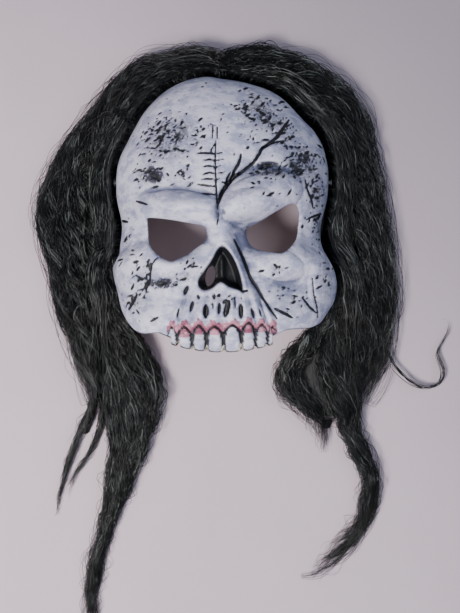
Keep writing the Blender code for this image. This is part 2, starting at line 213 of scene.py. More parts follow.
GREYED, WHITE = rgb(0.44, 0.455, 0.62), rgb(0.76, 0.755, 0.885)
PAINTED_SHADE_BLUE, WASH, INK = rgb(0.13, 0.145, 0.24), rgb(0.025, 0.028, 0.05), rgb(0.006, 0.007, 0.009)
DEEP_PINK, PINK, PALE_PINK = rgb(0.26, 0.07, 0.12), rgb(0.60, 0.27, 0.35), rgb(0.75, 0.52, 0.58)


def latex_look(n):
    """White paint over latex, painted shade of dusky blue in its hollows, a blue-black wash where it is
    pitted, black ink in its cracks and flecks, dusty pink gums.
    """
    place = n.position()
    cloud = n.noise(place, 22.0, 4.0, 0.6)
    mottle = n.noise(n.scaled(place, (70.0, 110.0, 70.0)), 1.0, 6.0, 0.68)
    fine = n.noise(place, 420.0, 4.0, 0.6)
    grain = n.noise(place, 1500.0, 3.0, 0.6)
    paint = n.mix(n.step(mottle, 0.38, 0.58), GREYED, WHITE)
    # Painted shade: the hollows and the painted shadows, with a little cloud, darken the paint towards dusky
    # blue
    shade = n.plus(n.attribute("shade"), n.step(cloud, 0.45, 0.75, 0.0, 0.22))
    painted_shade = n.times(shade, n.step(mottle, 0.30, 0.62, 1.25, 0.55))
    paint = n.mix(n.math("MINIMUM", painted_shade, 0.9), paint, PAINTED_SHADE_BLUE)
    blot = n.times(n.attribute("wash"), n.step(n.plus(fine, mottle), 0.80, 1.12))
    paint = n.mix(n.step(blot, 0.08, 0.6, 0, 0.95), paint, WASH)
    gum = n.step(n.plus(n.attribute("gum"), n.times(fine, 0.5)), 0.55, 0.95)
    pink = n.mix(n.step(mottle, 0.4, 0.6), DEEP_PINK, PINK)
    paint = n.mix(gum, paint, n.mix(n.step(fine, 0.6, 0.75), pink, PALE_PINK))
    ragged = n.plus(n.attribute("ink"), n.times(n.math("SUBTRACT", fine, 0.5), 1.5))
    ink = n.math("MAXIMUM", n.step(ragged, -0.10, 0.55, 1.0, 0.0), n.attribute("black"))
    relief = n.plus(n.plus(n.times(mottle, 1.6), n.times(fine, 0.7)), n.times(grain, 0.3))
    n.set(
        colour=n.mix(ink, paint, INK),
        roughness=n.step(grain, 0.2, 0.8, 0.38, 0.56),
        normal=n.bump(relief, 0.6, 0.0012),
        specular=0.45,
    )


def latex_inside_look(n):
    place = n.position()
    pooled = n.noise(place, 45.0, 4.0, 0.6)
    grain = n.noise(place, 700.0, 3.0, 0.6)
    n.set(
        colour=n.mix(pooled, rgb(0.52, 0.46, 0.36), rgb(0.66, 0.60, 0.50)),
        roughness=n.step(grain, 0.2, 0.8, 0.55, 0.75),
        normal=n.bump(n.plus(pooled, grain), 0.3, 0.0008),
        subsurface=0.05,
    )


def hair_look(n):
    tone = n.attribute("tone")
    streak = n.noise(n.scaled(n.position(), (90.0, 90.0, 90.0)), 1.0, 3.0)
    # Strands of high tone, where the streak noise allows, turn light grey: partly lighter strands, partly
    # painted highlights
    grey_and_highlight = n.times(n.step(tone, 0.55, 1.0), n.step(streak, 0.38, 0.62))
    colour = n.mix(grey_and_highlight, rgb(0.0025, 0.0034, 0.0032), rgb(0.19, 0.21, 0.20))
    n.set(colour=colour, roughness=0.34, specular=0.52)


def hair_mass_look(n):
    streak = n.noise(n.scaled(n.position(), (900.0, 120.0, 900.0)), 1.0, 4.0)
    n.set(
        colour=n.mix(streak, rgb(0.002, 0.0025, 0.0025), rgb(0.008, 0.010, 0.009)),
        roughness=0.6,
        normal=n.bump(streak, 0.8, 0.001),
    )


def woven_look(threads, bend, dark, pale, roughness, relief, nap=None, sheen=0.0):
    """Look of a knitted, woven or sewn piece, whose nap adds a finer relief to the rows of thread."""

    def look(n):
        place = n.position()
        rows = n.rows(place, threads, bend)
        height = n.plus(rows, nap(n, place)) if nap else rows
        normal = n.bump(height, 0.6, relief)
        n.set(colour=n.mix(rows, dark, pale), roughness=roughness, sheen=sheen, normal=normal)

    return look


def steel_look(n):
    """Steel darkened to near black: painted shade, since the rivets sit in the shadowed gap beside the face.
    """
    scuff = n.noise(n.scaled(n.position(), (200.0, 1800.0, 1800.0)), 1.0, 4.0)
    n.set(
        colour=n.mix(scuff, rgb(0.07, 0.07, 0.075), rgb(0.13, 0.13, 0.135)),
        metallic=1.0,
        roughness=n.step(scuff, 0.3, 0.7, 0.22, 0.42),
        normal=n.bump(scuff, 0.15, 0.0002),
    )


# ---- mesh helpers


def new_mesh(name, verts, faces):
    """Object from an (n, 3) array in metres and a list of (m, k) arrays of corner numbers."""
    mesh = bpy.data.meshes.new(name)
    mesh.vertices.add(len(verts))
    mesh.vertices.foreach_set("co", np.asarray(verts, np.float32).ravel())
    loops = np.concatenate([f.ravel() for f in faces]).astype(np.int32)
    sizes = np.concatenate([np.full(len(f), f.shape[1]) for f in faces])
    mesh.loops.add(len(loops))
    mesh.loops.foreach_set("vertex_index", loops)
    mesh.polygons.add(len(sizes))
    starts = np.concatenate([[0], np.cumsum(sizes)[:-1]]).astype(np.int32)
    mesh.polygons.foreach_set("loop_start", starts)
    mesh.update(calc_edges=True)
    mesh.shade_smooth()
    ob = bpy.data.objects.new(name, mesh)
    bpy.context.scene.collection.objects.link(ob)
    return ob


def set_attribute(ob, name, values):
    layer = ob.data.attributes.new(name, "FLOAT", "POINT")
    layer.data.foreach_set("value", np.asarray(values, np.float32).ravel())


def smooth_step(x):
    x = np.clip(x, 0.0, 1.0)
    return x * x * (3 - 2 * x)


def cubic(a, b, c, d, t):
    return 0.5 * (2 * b + (c - a) * t + (2 * a - 5 * b + 4 * c - d) * t * t + (3 * b - a - 3 * c + d) * t**3)


def curve_through(points, per_span, closed=False):
    """Smooth curve through the points, as an array."""
    points = np.asarray(points, float)
    n = len(points)
    out = []
    t = (np.arange(per_span) / per_span)[:, None]
    for i in range(n if closed else n - 1):
        pick = [(i + k) % n if closed else min(max(i + k, 0), n - 1) for k in (-1, 0, 1, 2)]
        out.append(cubic(*points[pick], t))
    if not closed:
        out.append(points[-1:])
    return np.concatenate(out)


def distance_to(x, y, line, closed=False):
    """Distance from each (x, y) to a polyline, and how far along it the nearest point is, 0 to 1."""
    line = np.asarray(line, float)
    if closed:
        line = np.concatenate([line, line[:1]])
    best = np.full(x.shape, 1e9)
    along = np.zeros(x.shape)
    spans = len(line) - 1
    for i in range(spans):
        ax, ay = line[i]
        dx, dy = line[i + 1] - line[i]
        t = np.clip(((x - ax) * dx + (y - ay) * dy) / max(dx * dx + dy * dy, 1e-9), 0, 1)
        d = np.hypot(x - ax - t * dx, y - ay - t * dy)
        closer = d < best
        best = np.where(closer, d, best)
        along = np.where(closer, (i + t) / spans, along)
    return best, along


def inside_outline(x, y, outline):
    inside = np.zeros(x.shape, bool)
    n = len(outline)
    for i in range(n):
        (ax, ay), (bx, by) = outline[i], outline[(i + 1) % n]
        crosses = (ay > y) != (by > y)
        with np.errstate(divide="ignore", invalid="ignore"):
            at = (bx - ax) * (y - ay) / (by - ay) + ax
        inside ^= crosses & (x < at)
    return inside


def signed_distance(x, y, outline):
    """Distance to a closed outline, negative inside it."""
    d, _ = distance_to(x, y, outline, closed=True)
    return np.where(inside_outline(x, y, outline), -d, d)


# ---- outline and plain dome of the face
# These follow the CAD face, so that the fine surface lies on it. All lengths are in millimetres.

SKIRT = 4.0
RIM_Z = 8.0
FACE_TOP = 92.0
BITE_Z = 76.0
CENTRE = (0.0, 26.0)
DOME_POWER = 2.3
TOOTH_WIDTHS = (8.5, 12.5, 11.5, 14.0, 15.0, 11.5, 10.0, 8.0)
TEETH_HALF_WIDTH = sum(TOOTH_WIDTHS) / 2
TOOTH_EDGES = np.concatenate([[0.0], np.cumsum(TOOTH_WIDTHS)]) - TEETH_HALF_WIDTH
TEETH_BOTTOM = -86.0
TEETH_RISE = 7.0
TOOTH_NOTCH = 6.0
BITE_ANGLE = 26.0  # from straight down to the end of the teeth
REST_ANGLE = 62.0  # from straight down to where the rim comes to rest
TEETH_ANGLE = BITE_ANGLE - 3
TEETH_DISTANCE = 110.0  # from CENTRE down to the teeth, near enough to tell one from the next
OUTLINE = [
    (52, -68), (81, -64), (92, -54), (101, -41), (102, -22), (90, 4), (89, 25), (95, 56), (93, 86),
    (84, 107), (71, 121), (49, 142), (27, 151), (1, 156), (-18, 158), (-44, 150), (-66, 132),
    (-83, 105), (-94, 81), (-96, 57), (-91, 25), (-93, -1), (-99, -15), (-94, -37), (-86, -56),
    (-70, -70), (-52, -70),
]
OUTLINE_POLAR = sorted((atan2(y - CENTRE[1], x - CENTRE[0]) % (2 * pi), hypot(x - CENTRE[0], y - CENTRE[1]))
                       for x, y in OUTLINE)


def tooth_place(x):
    """For each x: which tooth, and how far from its middle, -1 to 1."""
    x = np.clip(x, -TEETH_HALF_WIDTH + 1e-6, TEETH_HALF_WIDTH - 1e-6)
    which = np.searchsorted(TOOTH_EDGES, x) - 1
    return which, 2 * (x - TOOTH_EDGES[which]) / np.take(TOOTH_WIDTHS, which) - 1


def bite_edge(x, notched):
    _, from_middle = tooth_place(np.asarray([x]))
    rise = TEETH_RISE * min(abs(x) / TEETH_HALF_WIDTH, 1.0) ** 2
    return TEETH_BOTTOM + rise + TOOTH_NOTCH * notched * abs(from_middle[0]) ** 5


def from_down(t):
    """Degrees between direction t and straight down."""
    return abs((t * 180 / pi + 270) % 360 - 180)


def radius(t, notched):
    """Distance from CENTRE to the outline in direction t."""
    t = t % (2 * pi)
    if from_down(t) < TEETH_ANGLE:
        lean = t - 1.5 * pi
        return (CENTRE[1] - bite_edge(TEETH_DISTANCE * tan(lean), notched)) / cos(lean)
    ring = OUTLINE_POLAR
    n = len(ring)
    i = next((k for k in range(n) if ring[k][0] > t), 0) - 1
    near = []
    for k in range(i - 1, i + 3):
        a, r = ring[k % n]
        a += 2 * pi * round((t - a) / (2 * pi))
        near.append((a, r))
    share = (t - near[1][0]) / (near[2][0] - near[1][0])
    return cubic(near[0][1], near[1][1], near[2][1], near[3][1], share)


TABLE_ANGLES = np.linspace(0, 2 * pi, 2881)
PLAIN_RADIUS = np.array([radius(t, 0.0) for t in TABLE_ANGLES])
NOTCHED_RADIUS = np.array([radius(t, 1.0) for t in TABLE_ANGLES])


def rim_height(t):
    down = np.abs((np.degrees(t) + 270) % 360 - 180)
    return RIM_Z + (BITE_Z - RIM_Z) * smooth_step((REST_ANGLE - down) / (REST_ANGLE - BITE_ANGLE))


def plain_rim(t):
    """Point on the unnotched outline in direction t, and the outline's normal there."""
    ends = []
    for a in (t - 0.01, t, t + 0.01):
        r = np.interp(a % (2 * pi), TABLE_ANGLES, PLAIN_RADIUS)
        ends.append(np.array([CENTRE[0] + r * cos(a), CENTRE[1] + r * sin(a)]))
    along = ends[2] - ends[0]
    out = np.array([along[1], -along[0]]) / np.hypot(*along)
    return ends[1], out


def swell(x, y, cx, cy, along, across, turn, height):
    """Soft hill or hollow of the given height."""
    c, s = cos(radians(turn)), sin(radians(turn))
    u = ((x - cx) * c + (y - cy) * s) / along
    v = ((y - cy) * c - (x - cx) * s) / across
    return height * np.exp(-(u * u) - v * v)


def lobe(x, y, cx, cy, along, across, turn, height, power=2.0, edge=0.6):
    """Bulge with a clear edge, such as a swollen brow."""
    c, s = cos(radians(turn)), sin(radians(turn))
    u = np.abs(((x - cx) * c + (y - cy) * s) / along)
    v = np.abs(((y - cy) * c - (x - cx) * s) / across)
    return height * np.clip(1 - u**power - v**power, 0, 1) ** edge


# ---- sculpted forms

# Soft hills and hollows: centre, half sizes, turn and height
FORMS = [
    (28, 38, 34, 14, 17, 7), (-36, 32, 32, 9, -4, 7), (42, 13, 22, 14, 15, -13),
    (-38, 7, 26, 12, -5, -12), (0, 12, 9, 18, 0, 7), (0, -18, 22, 24, 0, 5),
    (-72, -10, 26, 12, 12, 9), (76, -12, 26, 12, -12, 9), (-56, -38, 16, 9, -10, -5),
    (56, -36, 16, 9, 10, -5), (0, -52, 42, 20, 0, 6), (22, 7, 12, 11, 20, -11),
    (-18, 8, 7, 8, 0, -4), (50, -33, 14, 6, -10, -2.5),
]
# Bulges with a clear edge: centre, half sizes, turn and height, and the shape where it is not the usual one
LOBES = [
    (32, 41, 36, 18.5, 20, 10.0, 2.2, 0.55), (19, 31.5, 24, 14.5, 18, 4.6, 2.0, 0.75),
    (-38, 33.5, 39, 13.5, -5, 5.5), (46, -14, 22, 13, -14, 5.4), (-45, -16, 22, 9.5, 12, 4.2),
    (90, -30, 19, 26, 0, 3.5), (-90, -24, 18, 23, 0, 3.0), (74, 60, 16, 34, -12, 1.8),
    (-46, 64, 40, 16, 8, 1.2),
]
# Outlines of the holes and of the nose opening; the nostril is an oval
EYE_LEFT = [(-63, 20), (-62, 25), (-51, 24), (-34, 21), (-16, 17.5), (-12.5, 12), (-13, 6), (-19, 1.5),
            (-27, -4.5), (-35, -9), (-41, -11.5), (-48, -9), (-55, -4), (-61, 5)]
EYE_RIGHT = [(21, 16.5), (30, 20.5), (43, 28.5), (55, 35.5), (61.5, 36), (65, 29), (65, 19), (62, 8.5),
             (56, 0.5), (49, -4.5), (40, -4), (31, -2), (24.5, 1.5), (20.5, 9)]
NOSTRIL = (-9.5, -23.5, 3.9, 8.2, -14)
NOSE = [(0, 1), (-4.5, -2.5), (-9, -11), (-15, -19.5), (-19.5, -26.5), (-19, -32.5), (-14.5, -35.8),
        (-7.5, -34), (-1, -29.5), (5.5, -33), (13, -35.5), (17.5, -37.5), (17, -30), (14.5, -20),
        (10.5, -10), (5, -2)]

# Cracks: half width, depth and points
SEAM = [(-5, 88), (-5.5, 71), (-5, 56), (-4.2, 40), (-3, 26), (-4, 17)]
CRACKS = [
    (0.55, 1.0, SEAM),
    (0.45, 0.7, [(-7.5, 101), (-8, 89.5)]),
    (0.45, 0.7, [(-4, 100), (-4, 89)]),
    (1.7, 2.2, [(-2.5, 38), (0.5, 45), (5, 51.5), (10, 57.5), (16, 61.5)]),
    (1.25, 1.8, [(14, 60), (20, 65), (25.5, 69.5), (30, 76), (33, 82), (38, 86)]),
    (1.35, 1.8, [(34, 82), (40, 87.5), (46, 93.5), (51, 101.5), (57, 111)]),
    (0.8, 1.2, [(33, 82), (43, 87.5), (54.5, 90.5)]),
    (1.2, 1.6, [(7, 55), (10.5, 63), (13.5, 68), (15.5, 76)]),
    (0.8, 1.2, [(5, 51), (4, 55.5), (7, 61)]),
    (0.8, 1.2, [(0, 52.5), (5, 53.5), (9, 57)]),
    (0.7, 1.2, [(-3.5, 32), (-0.5, 40), (2, 47)]),
    (0.75, 1.2, [(-52.5, -8), (-57, -13.5), (-58.5, -20), (-60, -27), (-64, -32.5), (-71, -35)]),
    (1.0, 1.4, [(-59.5, -26), (-62, -30.5), (-63.5, -35)]),
    (0.7, 1.0, [(-72, -22), (-67.5, -24.5), (-62, -25.5)]),
    (1.3, 1.4, [(-71.5, -38), (-75, -44.5), (-79.5, -51)]),
    (1.0, 1.2, [(-59, -60.5), (-52.5, -57)]),
    (1.15, 1.4, [(10, 6), (13.5, -1), (18.5, -12.5), (23, -24.5), (28.5, -33), (35.5, -45), (45, -58)]),
    (1.2, 1.3, [(43, -50), (50.5, -53.5), (58, -57.5)]),
    (0.8, 1.2, [(66.5, -40.5), (72.5, -48), (79, -53.5)]),
    (0.6, 1.0, [(75, -24.5), (77, -38.5), (80, -49.5), (81, -59)]),
    (0.9, 1.1, [(69, 58), (71.5, 49), (75.5, 41.5), (77, 36)]),
    (0.8, 1.0, [(71.5, 25.5), (79, 29.5), (85, 32)]),
    (0.9, 1.0, [(-72, 40), (-66, 37.5), (-61.5, 35.5)]),
    (0.9, 1.0, [(-89, 27.5), (-81.5, 24.5)]),
    (0.8, 1.0, [(-91, -9), (-84, -8)]),
    (0.9, 1.0, [(30.5, 18.5), (34, 21), (38, 22.5)]),
    (0.6, 0.8, [(-5, 86), (-9, 79), (-7, 76)]),
    (1.0, 1.0, [(16.5, -36), (21, -35.5)]),
]
# Short cuts across the seam on the forehead: height, reach to the left and to the right, tilt
STITCHES = [(76, 15.5, 5, 0.5), (70.5, 10, 6.5, 0), (65, 10.5, 3.5, 0.3), (59.5, 10.5, 7, -0.8),
            (54.5, 11.5, 2.5, 0.3), (49, 15, 0, 2.0), (42, 10.5, 0, 1.5)]
SEAM_LEFT, SEAM_RIGHT = -5.2, -4.4
for height, left, right, tilt in STITCHES:
    half_way = (SEAM_LEFT - 0.5 * left, height + 0.9)
    CRACKS.append((0.75, 0.9, [(SEAM_LEFT - left, height + tilt), half_way, (-5.0, height)]))
    if right:
        CRACKS.append((0.55, 0.7, [(SEAM_RIGHT, height), (SEAM_RIGHT + right, height + 1.4)]))
# Soft creases: width, depth and points
CREASES = [
    (4.2, 4.6, [(12, 4), (18.5, -12.5), (23, -24.5), (28.5, -33), (35.5, -46), (44, -58)]),
    (4.0, 3.0, [(-24, -24), (-29, -34), (-32, -42), (-35.5, -53)]),
    (3.0, 2.4, [(27.5, -15), (33.5, -22.5), (41.5, -27.5), (52.5, -29), (62, -27)]),
    (3.0, 1.6, [(-24, -17), (-32, -24), (-42, -27), (-52, -25)]),
    (4.5, 2.4, [(-4, 34), (-3.5, 24), (-3, 15)]),
    (3.4, 4.6, [(-3, 39), (4, 51.5), (16, 61.5), (30, 66.5), (48, 67), (62, 62)]),
    (3.2, 5.0, [(-4, 36), (-3, 28), (3, 22.5), (12, 18), (22, 14), (30, 14)]),
    (4.0, 3.6, [(-74, 46), (-50, 49.5), (-30, 48.5), (-8, 43)]),
    (3.2, 3.0, [(-16, 1), (-26, -4.5), (-40, -9), (-54, -8)]),
    (3.6, 2.6, [(9, 14), (13, 4), (16, -8), (22, -20)]),
    (5.0, 2.4, [(72, 30), (70, 14), (72, -2)]),
    (5.0, 2.4, [(-72, 30), (-70, 14), (-70, 2)]),
]
# Root slots above the gums: half width, depth and points
SLOTS = [(1.3, 3.0, [(-23.5, -44.5), (-25.5, -52)]), (2.2, 3.6, [(-13, -47.5), (-13.2, -56.5)]),
         (1.2, 2.6, [(-2, -46), (-2.4, -53.5)]), (2.2, 3.6, [(5.5, -44), (2.8, -55.5)]),
         (1.7, 3.2, [(15.2, -47), (15.6, -57)]), (1.0, 2.4, [(24, -50), (26, -57)]),
         (1.5, 2.0, [(-28, -32), (-30.5, -38)]), (1.1, 1.6, [(-6, -38.5), (-6.2, -42)]),
         (0.9, 1.2, [(-19.5, -39), (-18.5, -42)]), (0.7, 2.0, [(-35, -50), (-36.5, -57)]),
         (0.55, 1.4, [(-7.5, -45), (-7.2, -50)]), (0.55, 1.5, [(10.5, -43), (10.8, -49)]),
         (0.6, 1.6, [(30, -50), (31.8, -56)])]
# Where the wash has been dabbed: centre, half sizes, turn, strength, and flecks sown there
PITTED = [
    (-42, 92, 26, 22, 30, 0.9, 95), (-56, 100, 16, 12, 40, 0.5, 30),
    (-20, 100, 18, 22, 0, 0.35, 26), (34, 112, 24, 13, -25, 0.9, 60),
    (30, 128, 22, 9, -20, 0.5, 22), (55, 97, 12, 14, -40, 0.6, 22), (30, 90, 18, 18, 0, 0.3, 22),
    (66, 72, 16, 17, -30, 1.0, 60), (80, 52, 10, 26, 0, 0.7, 44), (84, 20, 7, 22, 0, 0.7, 24),
    (40, 62, 20, 8, 5, 0.9, 26), (-62, 62, 14, 10, 10, 0.8, 22), (-35, 58, 18, 9, 0, 0.4, 18),
    (-50, -29, 13, 5, 0, 1.0, 16), (-66, -22, 12, 16, 0, 0.45, 26), (-25, -14, 8, 6, 40, 0.5, 8),
    (-30, -24, 10, 5, 30, 0.6, 8), (44, -18, 9, 6, 0, 0.6, 9), (58, -42, 20, 14, 0, 0.35, 22),
    (88, -24, 9, 26, 0, 0.55, 20), (-72, -44, 16, 14, 40, 0.5, 26), (0, -42, 26, 5, 0, 0.45, 14),
    (30, 42, 20, 12, 20, 0.12, 9), (-80, 20, 10, 26, 0, 0.3, 12), (0, 120, 50, 18, 0, 0.2, 16),
]
BLOTCHES = [(-56, 60, 6.5, 5.0, -25), (-50, -29, 9, 3.4, -3), (62, 66, 6, 3, -45), (37, 68, 7, 2.2, 5),
            (70, 76, 4, 3, -40), (-60, 65, 4, 2.4, 20)]

# Painted shadows, where form shadows are painted darker: centre, half sizes, turn, strength
PAINTED_SHADOWS = [
    (21, 7, 11, 14, 20, 0.95), (-18, 9, 7, 8, 0, 0.4), (-40, 47, 34, 4.5, -5, 0.55),
    (30, 63, 30, 5, 10, 0.5), (20, -14, 5, 22, 22, 0.8), (-36, -8, 24, 3.5, -8, 0.4),
    (-70, -30, 20, 20, 20, 0.25), (-60, 34, 20, 8, 0, 0.25), (34, -42, 5, 16, 35, 0.5),
    (50, -31, 18, 4.5, -8, 0.55), (70, 22, 9, 22, 0, 0.3), (-72, 22, 8, 18, 0, 0.35),
    (0, -46, 34, 6, 0, 0.45), (-30, -40, 4, 14, -15, 0.4), (62, -48, 16, 10, 0, 0.3),
    (-62, -52, 18, 8, 0, 0.25), (-4, 30, 4, 14, 0, 0.4), (60, 84, 18, 14, -40, 0.35),
    (-48, 88, 26, 20, 30, 0.5), (66, 66, 20, 16, -30, 0.4), (-25, 51, 22, 5, -4, 0.4),
    (30, 104, 18, 20, -30, 0.3), (6, 20, 13, 3.5, -24, 0.6), (-2, 34, 3.5, 8, 0, 0.4),
    (-52, 60, 24, 9, 0, 0.3), (88, 30, 7, 50, 0, 0.3), (-84, -2, 8, 12, 0, 0.35),
    (-36, -24, 20, 4, 5, 0.35),
]


def outline_curve(points):
    return curve_through(points, 8, closed=True)


def oval(cx, cy, half_w, half_h, turn):
    a = np.linspace(0, 2 * pi, 48, endpoint=False)
    u, v = half_w * np.cos(a), half_h * np.sin(a)
    c, s = cos(radians(turn)), sin(radians(turn))
    return np.stack([cx + u * c - v * s, cy + u * s + v * c], 1)


EYE_CURVES = [outline_curve(EYE_LEFT), outline_curve(EYE_RIGHT)]
HOLES = [*EYE_CURVES, oval(*NOSTRIL)]
NOSE_CURVE = outline_curve(NOSE)


FLECK_SHARE = 1.35  # flecks sown for each one counted in PITTED
FLECK_REACH = 0.955  # of the way to the outline, past which the face is too steep for them


def sow_flecks():
    """Short slanting flecks of ink: centre, half length, half width, direction."""
    random = np.random.default_rng(11)
    flecks = []
    for cx, cy, along, across, turn, _, count in PITTED:
        c, s = cos(radians(turn)), sin(radians(turn))
        for _ in range(int(FLECK_SHARE * count)):
            u, v = random.normal(0, 0.55, 2) * (along, across)
            length = random.uniform(0.35, 1.0) * random.choice([0.9, 1.8, 3.0], p=[0.5, 0.36, 0.14])
            width = min(length * random.uniform(0.32, 0.85), random.uniform(0.5, 1.2))
            lean = radians(random.normal(35, 28))
            x, y = cx + u * c - v * s, cy + u * s + v * c
            t = atan2(y - CENTRE[1], x - CENTRE[0]) % (2 * pi)
            reach = FLECK_REACH * np.interp(t, TABLE_ANGLES, PLAIN_RADIUS)
            if hypot(x - CENTRE[0], y - CENTRE[1]) < reach:
                flecks.append((x, y, length, width, lean))
    return flecks


# Each tooth: height of the arch over it, where its pink fades out, and how pink it is
TOOTH_ARCH = (-65.5, -65, -64, -64.5, -63.5, -61.5, -63, -65)
TOOTH_PINK_END = (-70, -75, -73, -73, -69, -71.5, -71, -73)
TOOTH_PINK = (0.35, 1.0, 0.9, 0.95, 0.2, 0.9, 0.8, 0.8)
NECK_WIDTH = 0.74  # of the tooth's own width
ARCH_DROP = 6.3  # from the arch over a tooth to the point between two teeth
GUM_LINE = -64.5


def tooth_field(x, y):
    """Signed distance-like value, negative on a tooth, the tooth's roundness, and the arch above it."""
    which, across = tooth_place(x)
    across = np.abs(across)
    half = np.take(TOOTH_WIDTHS, which) / 2
    tip = TEETH_BOTTOM + TEETH_RISE * np.clip(x / TEETH_HALF_WIDTH, -1, 1) ** 2
    top = np.take(TOOTH_ARCH, which)
    middle = tip + 0.5 * (top - tip)
    upper = (across / NECK_WIDTH) ** 2.1 + (np.abs(y - middle) / (top - middle)) ** 1.7
    broad = NECK_WIDTH + 0.13 * smooth_step((middle - y) / (middle - tip))
    below = np.abs(np.minimum(y - middle, 0)) / (middle - tip + 0.6)
    lower = (across / broad) ** 4.0 + below**3.4
    shape = np.where(y < middle, lower ** (1 / 3.6), upper ** (1 / 1.9))
    signed = np.where(np.abs(x) > TEETH_HALF_WIDTH, 3.0, (shape - 1) * half)
    crown = np.clip(1 - (across / 0.95) ** 2.4, 0, 1) ** 0.6
    return signed, crown, top - ARCH_DROP * across**1.5


NOSE_DEPTH, NOSE_LIP, SEPTUM_HEIGHT = 12.5, 1.7, 4.2
TOOTH_STEP, TOOTH_SWELL, GAP_DEPTH, ROOT_SWELL, GUM_SWELL = 0.6, 2.2, 2.6, 3.8, 1.5
BLOTCH_DEPTH, HOLE_EDGE_DROP = 1.2, 1.5
FAR_FROM_INK = 4.0


def nose_relief(x, y, nose):
    """The sunken nose opening with its septum, and the lip around it."""
    cavity = smooth_step(-nose / 5.5)
    septum = np.exp(-((x + 0.5 + 0.02 * y) ** 2) / 7.0) * smooth_step((-2 - y) / 10)
    lip = np.exp(-((nose - 1.6) ** 2) / 3.2) * smooth_step(nose + 0.6)
    return (SEPTUM_HEIGHT * septum - NOSE_DEPTH) * cavity + NOSE_LIP * lip


def mouth_relief(x, y, tooth, crown, gum_line, in_teeth, in_row):
    """The teeth, the gum over them and the swelling of their roots."""
    on_tooth = smooth_step(-tooth / 0.9)
    teeth = on_tooth * (TOOTH_STEP + TOOTH_SWELL * crown) - (1 - on_tooth) * GAP_DEPTH
    roots = np.cos(pi * tooth_place(x * (1 + 0.012 * (y + 62)))[1]) * 0.5 + 0.5
    root_zone = smooth_step((y + 64) / 4) * smooth_step((-36 - y) / 12)
    gum = np.exp(-(((y - gum_line - 3.2) / 2.6) ** 2))
    return in_row * (in_teeth * teeth + ROOT_SWELL * (roots - 0.35) * root_zone + GUM_SWELL * gum)


def cut_marks(x, y, carved):
    """Cuts the cracks, root slots and flecks into carved, and gives the distance to the nearest one."""
    ink = np.full(x.shape, FAR_FROM_INK)
    for half, depth, points in CRACKS + SLOTS:
        line = curve_through(points, 6)
        low, high = line.min(0) - 6, line.max(0) + 6
        near = (x > low[0]) & (x < high[0]) & (y > low[1]) & (y < high[1])
        d, along = distance_to(x[near], y[near], line)
        thin = half * (0.25 + 0.75 * np.sin(pi * np.clip(along, 0.02, 0.98)) ** 0.5)
        carved[near] -= depth * np.exp(-((d / (thin + 0.55)) ** 2))
        carved[near] += 0.25 * depth * np.exp(-(((d - thin - 1.5) / 0.9) ** 2))
        ink[near] = np.minimum(ink[near], d - thin)
    for cx, cy, length, width, lean in FLECKS:
        reach = length + 3
        near = np.nonzero((np.abs(x - cx) < reach) & (np.abs(y - cy) < reach))
        c, s = cos(lean), sin(lean)
        u = (x[near] - cx) * c + (y[near] - cy) * s
        v = (y[near] - cy) * c - (x[near] - cx) * s
        d = (np.hypot(u / length, v / width) - 1) * width
        carved[near] -= min(1.0, 0.9 * width + 0.2) * np.exp(-(np.clip(d + 0.5, 0, 9) ** 2))
        ink[near] = np.minimum(ink[near], d)
    return ink


def sculpt(x, y):
    """Height in millimetres of the finished surface at (x, y), and the painting guides there."""
    dx, dy = x - CENTRE[0], y - CENTRE[1]
    t = np.arctan2(dy, dx) % (2 * pi)
    share = np.clip(np.hypot(dx, dy) / np.interp(t, TABLE_ANGLES, PLAIN_RADIUS), 0, 1)
    edge = rim_height(t)
    base = edge + (FACE_TOP - edge) * np.sqrt(np.clip(1 - share**DOME_POWER, 0, 1))
    carved = sum(swell(x, y, *form) for form in FORMS) + sum(lobe(x, y, *form) for form in LOBES)
    for width, depth, points in CREASES:
        d, along = distance_to(x, y, curve_through(points, 5))
        carved -= depth * np.exp(-((d / width) ** 2)) * np.clip(4 * along * (1 - along) + 0.15, 0, 1)
    nose = signed_distance(x, y, NOSE_CURVE)
    carved += nose_relief(x, y, nose)
    tooth, crown, gum_line = tooth_field(x, y)
    in_teeth = smooth_step((gum_line + 0.8 - y) / 1.6)
    in_row = smooth_step((TEETH_HALF_WIDTH + 1.5 - np.abs(x)) / 3)
    carved += mouth_relief(x, y, tooth, crown, gum_line, in_teeth, in_row)
    ink = cut_marks(x, y, carved)
    for blotch in BLOTCHES:
        carved += swell(x, y, *blotch, -BLOTCH_DEPTH)
    hole = np.full(x.shape, 9.0)
    for curve in HOLES:
        hole = np.minimum(hole, signed_distance(x, y, curve))
    carved -= HOLE_EDGE_DROP * np.exp(-((np.clip(hole, 0, 9) / 1.6) ** 2)) * (nose > 0.5)
    guides = paint_guides(x, y, nose, tooth, in_teeth, in_row, gum_line)
    guides["ink"] = ink
    return base + carved * (1 - share**8), guides


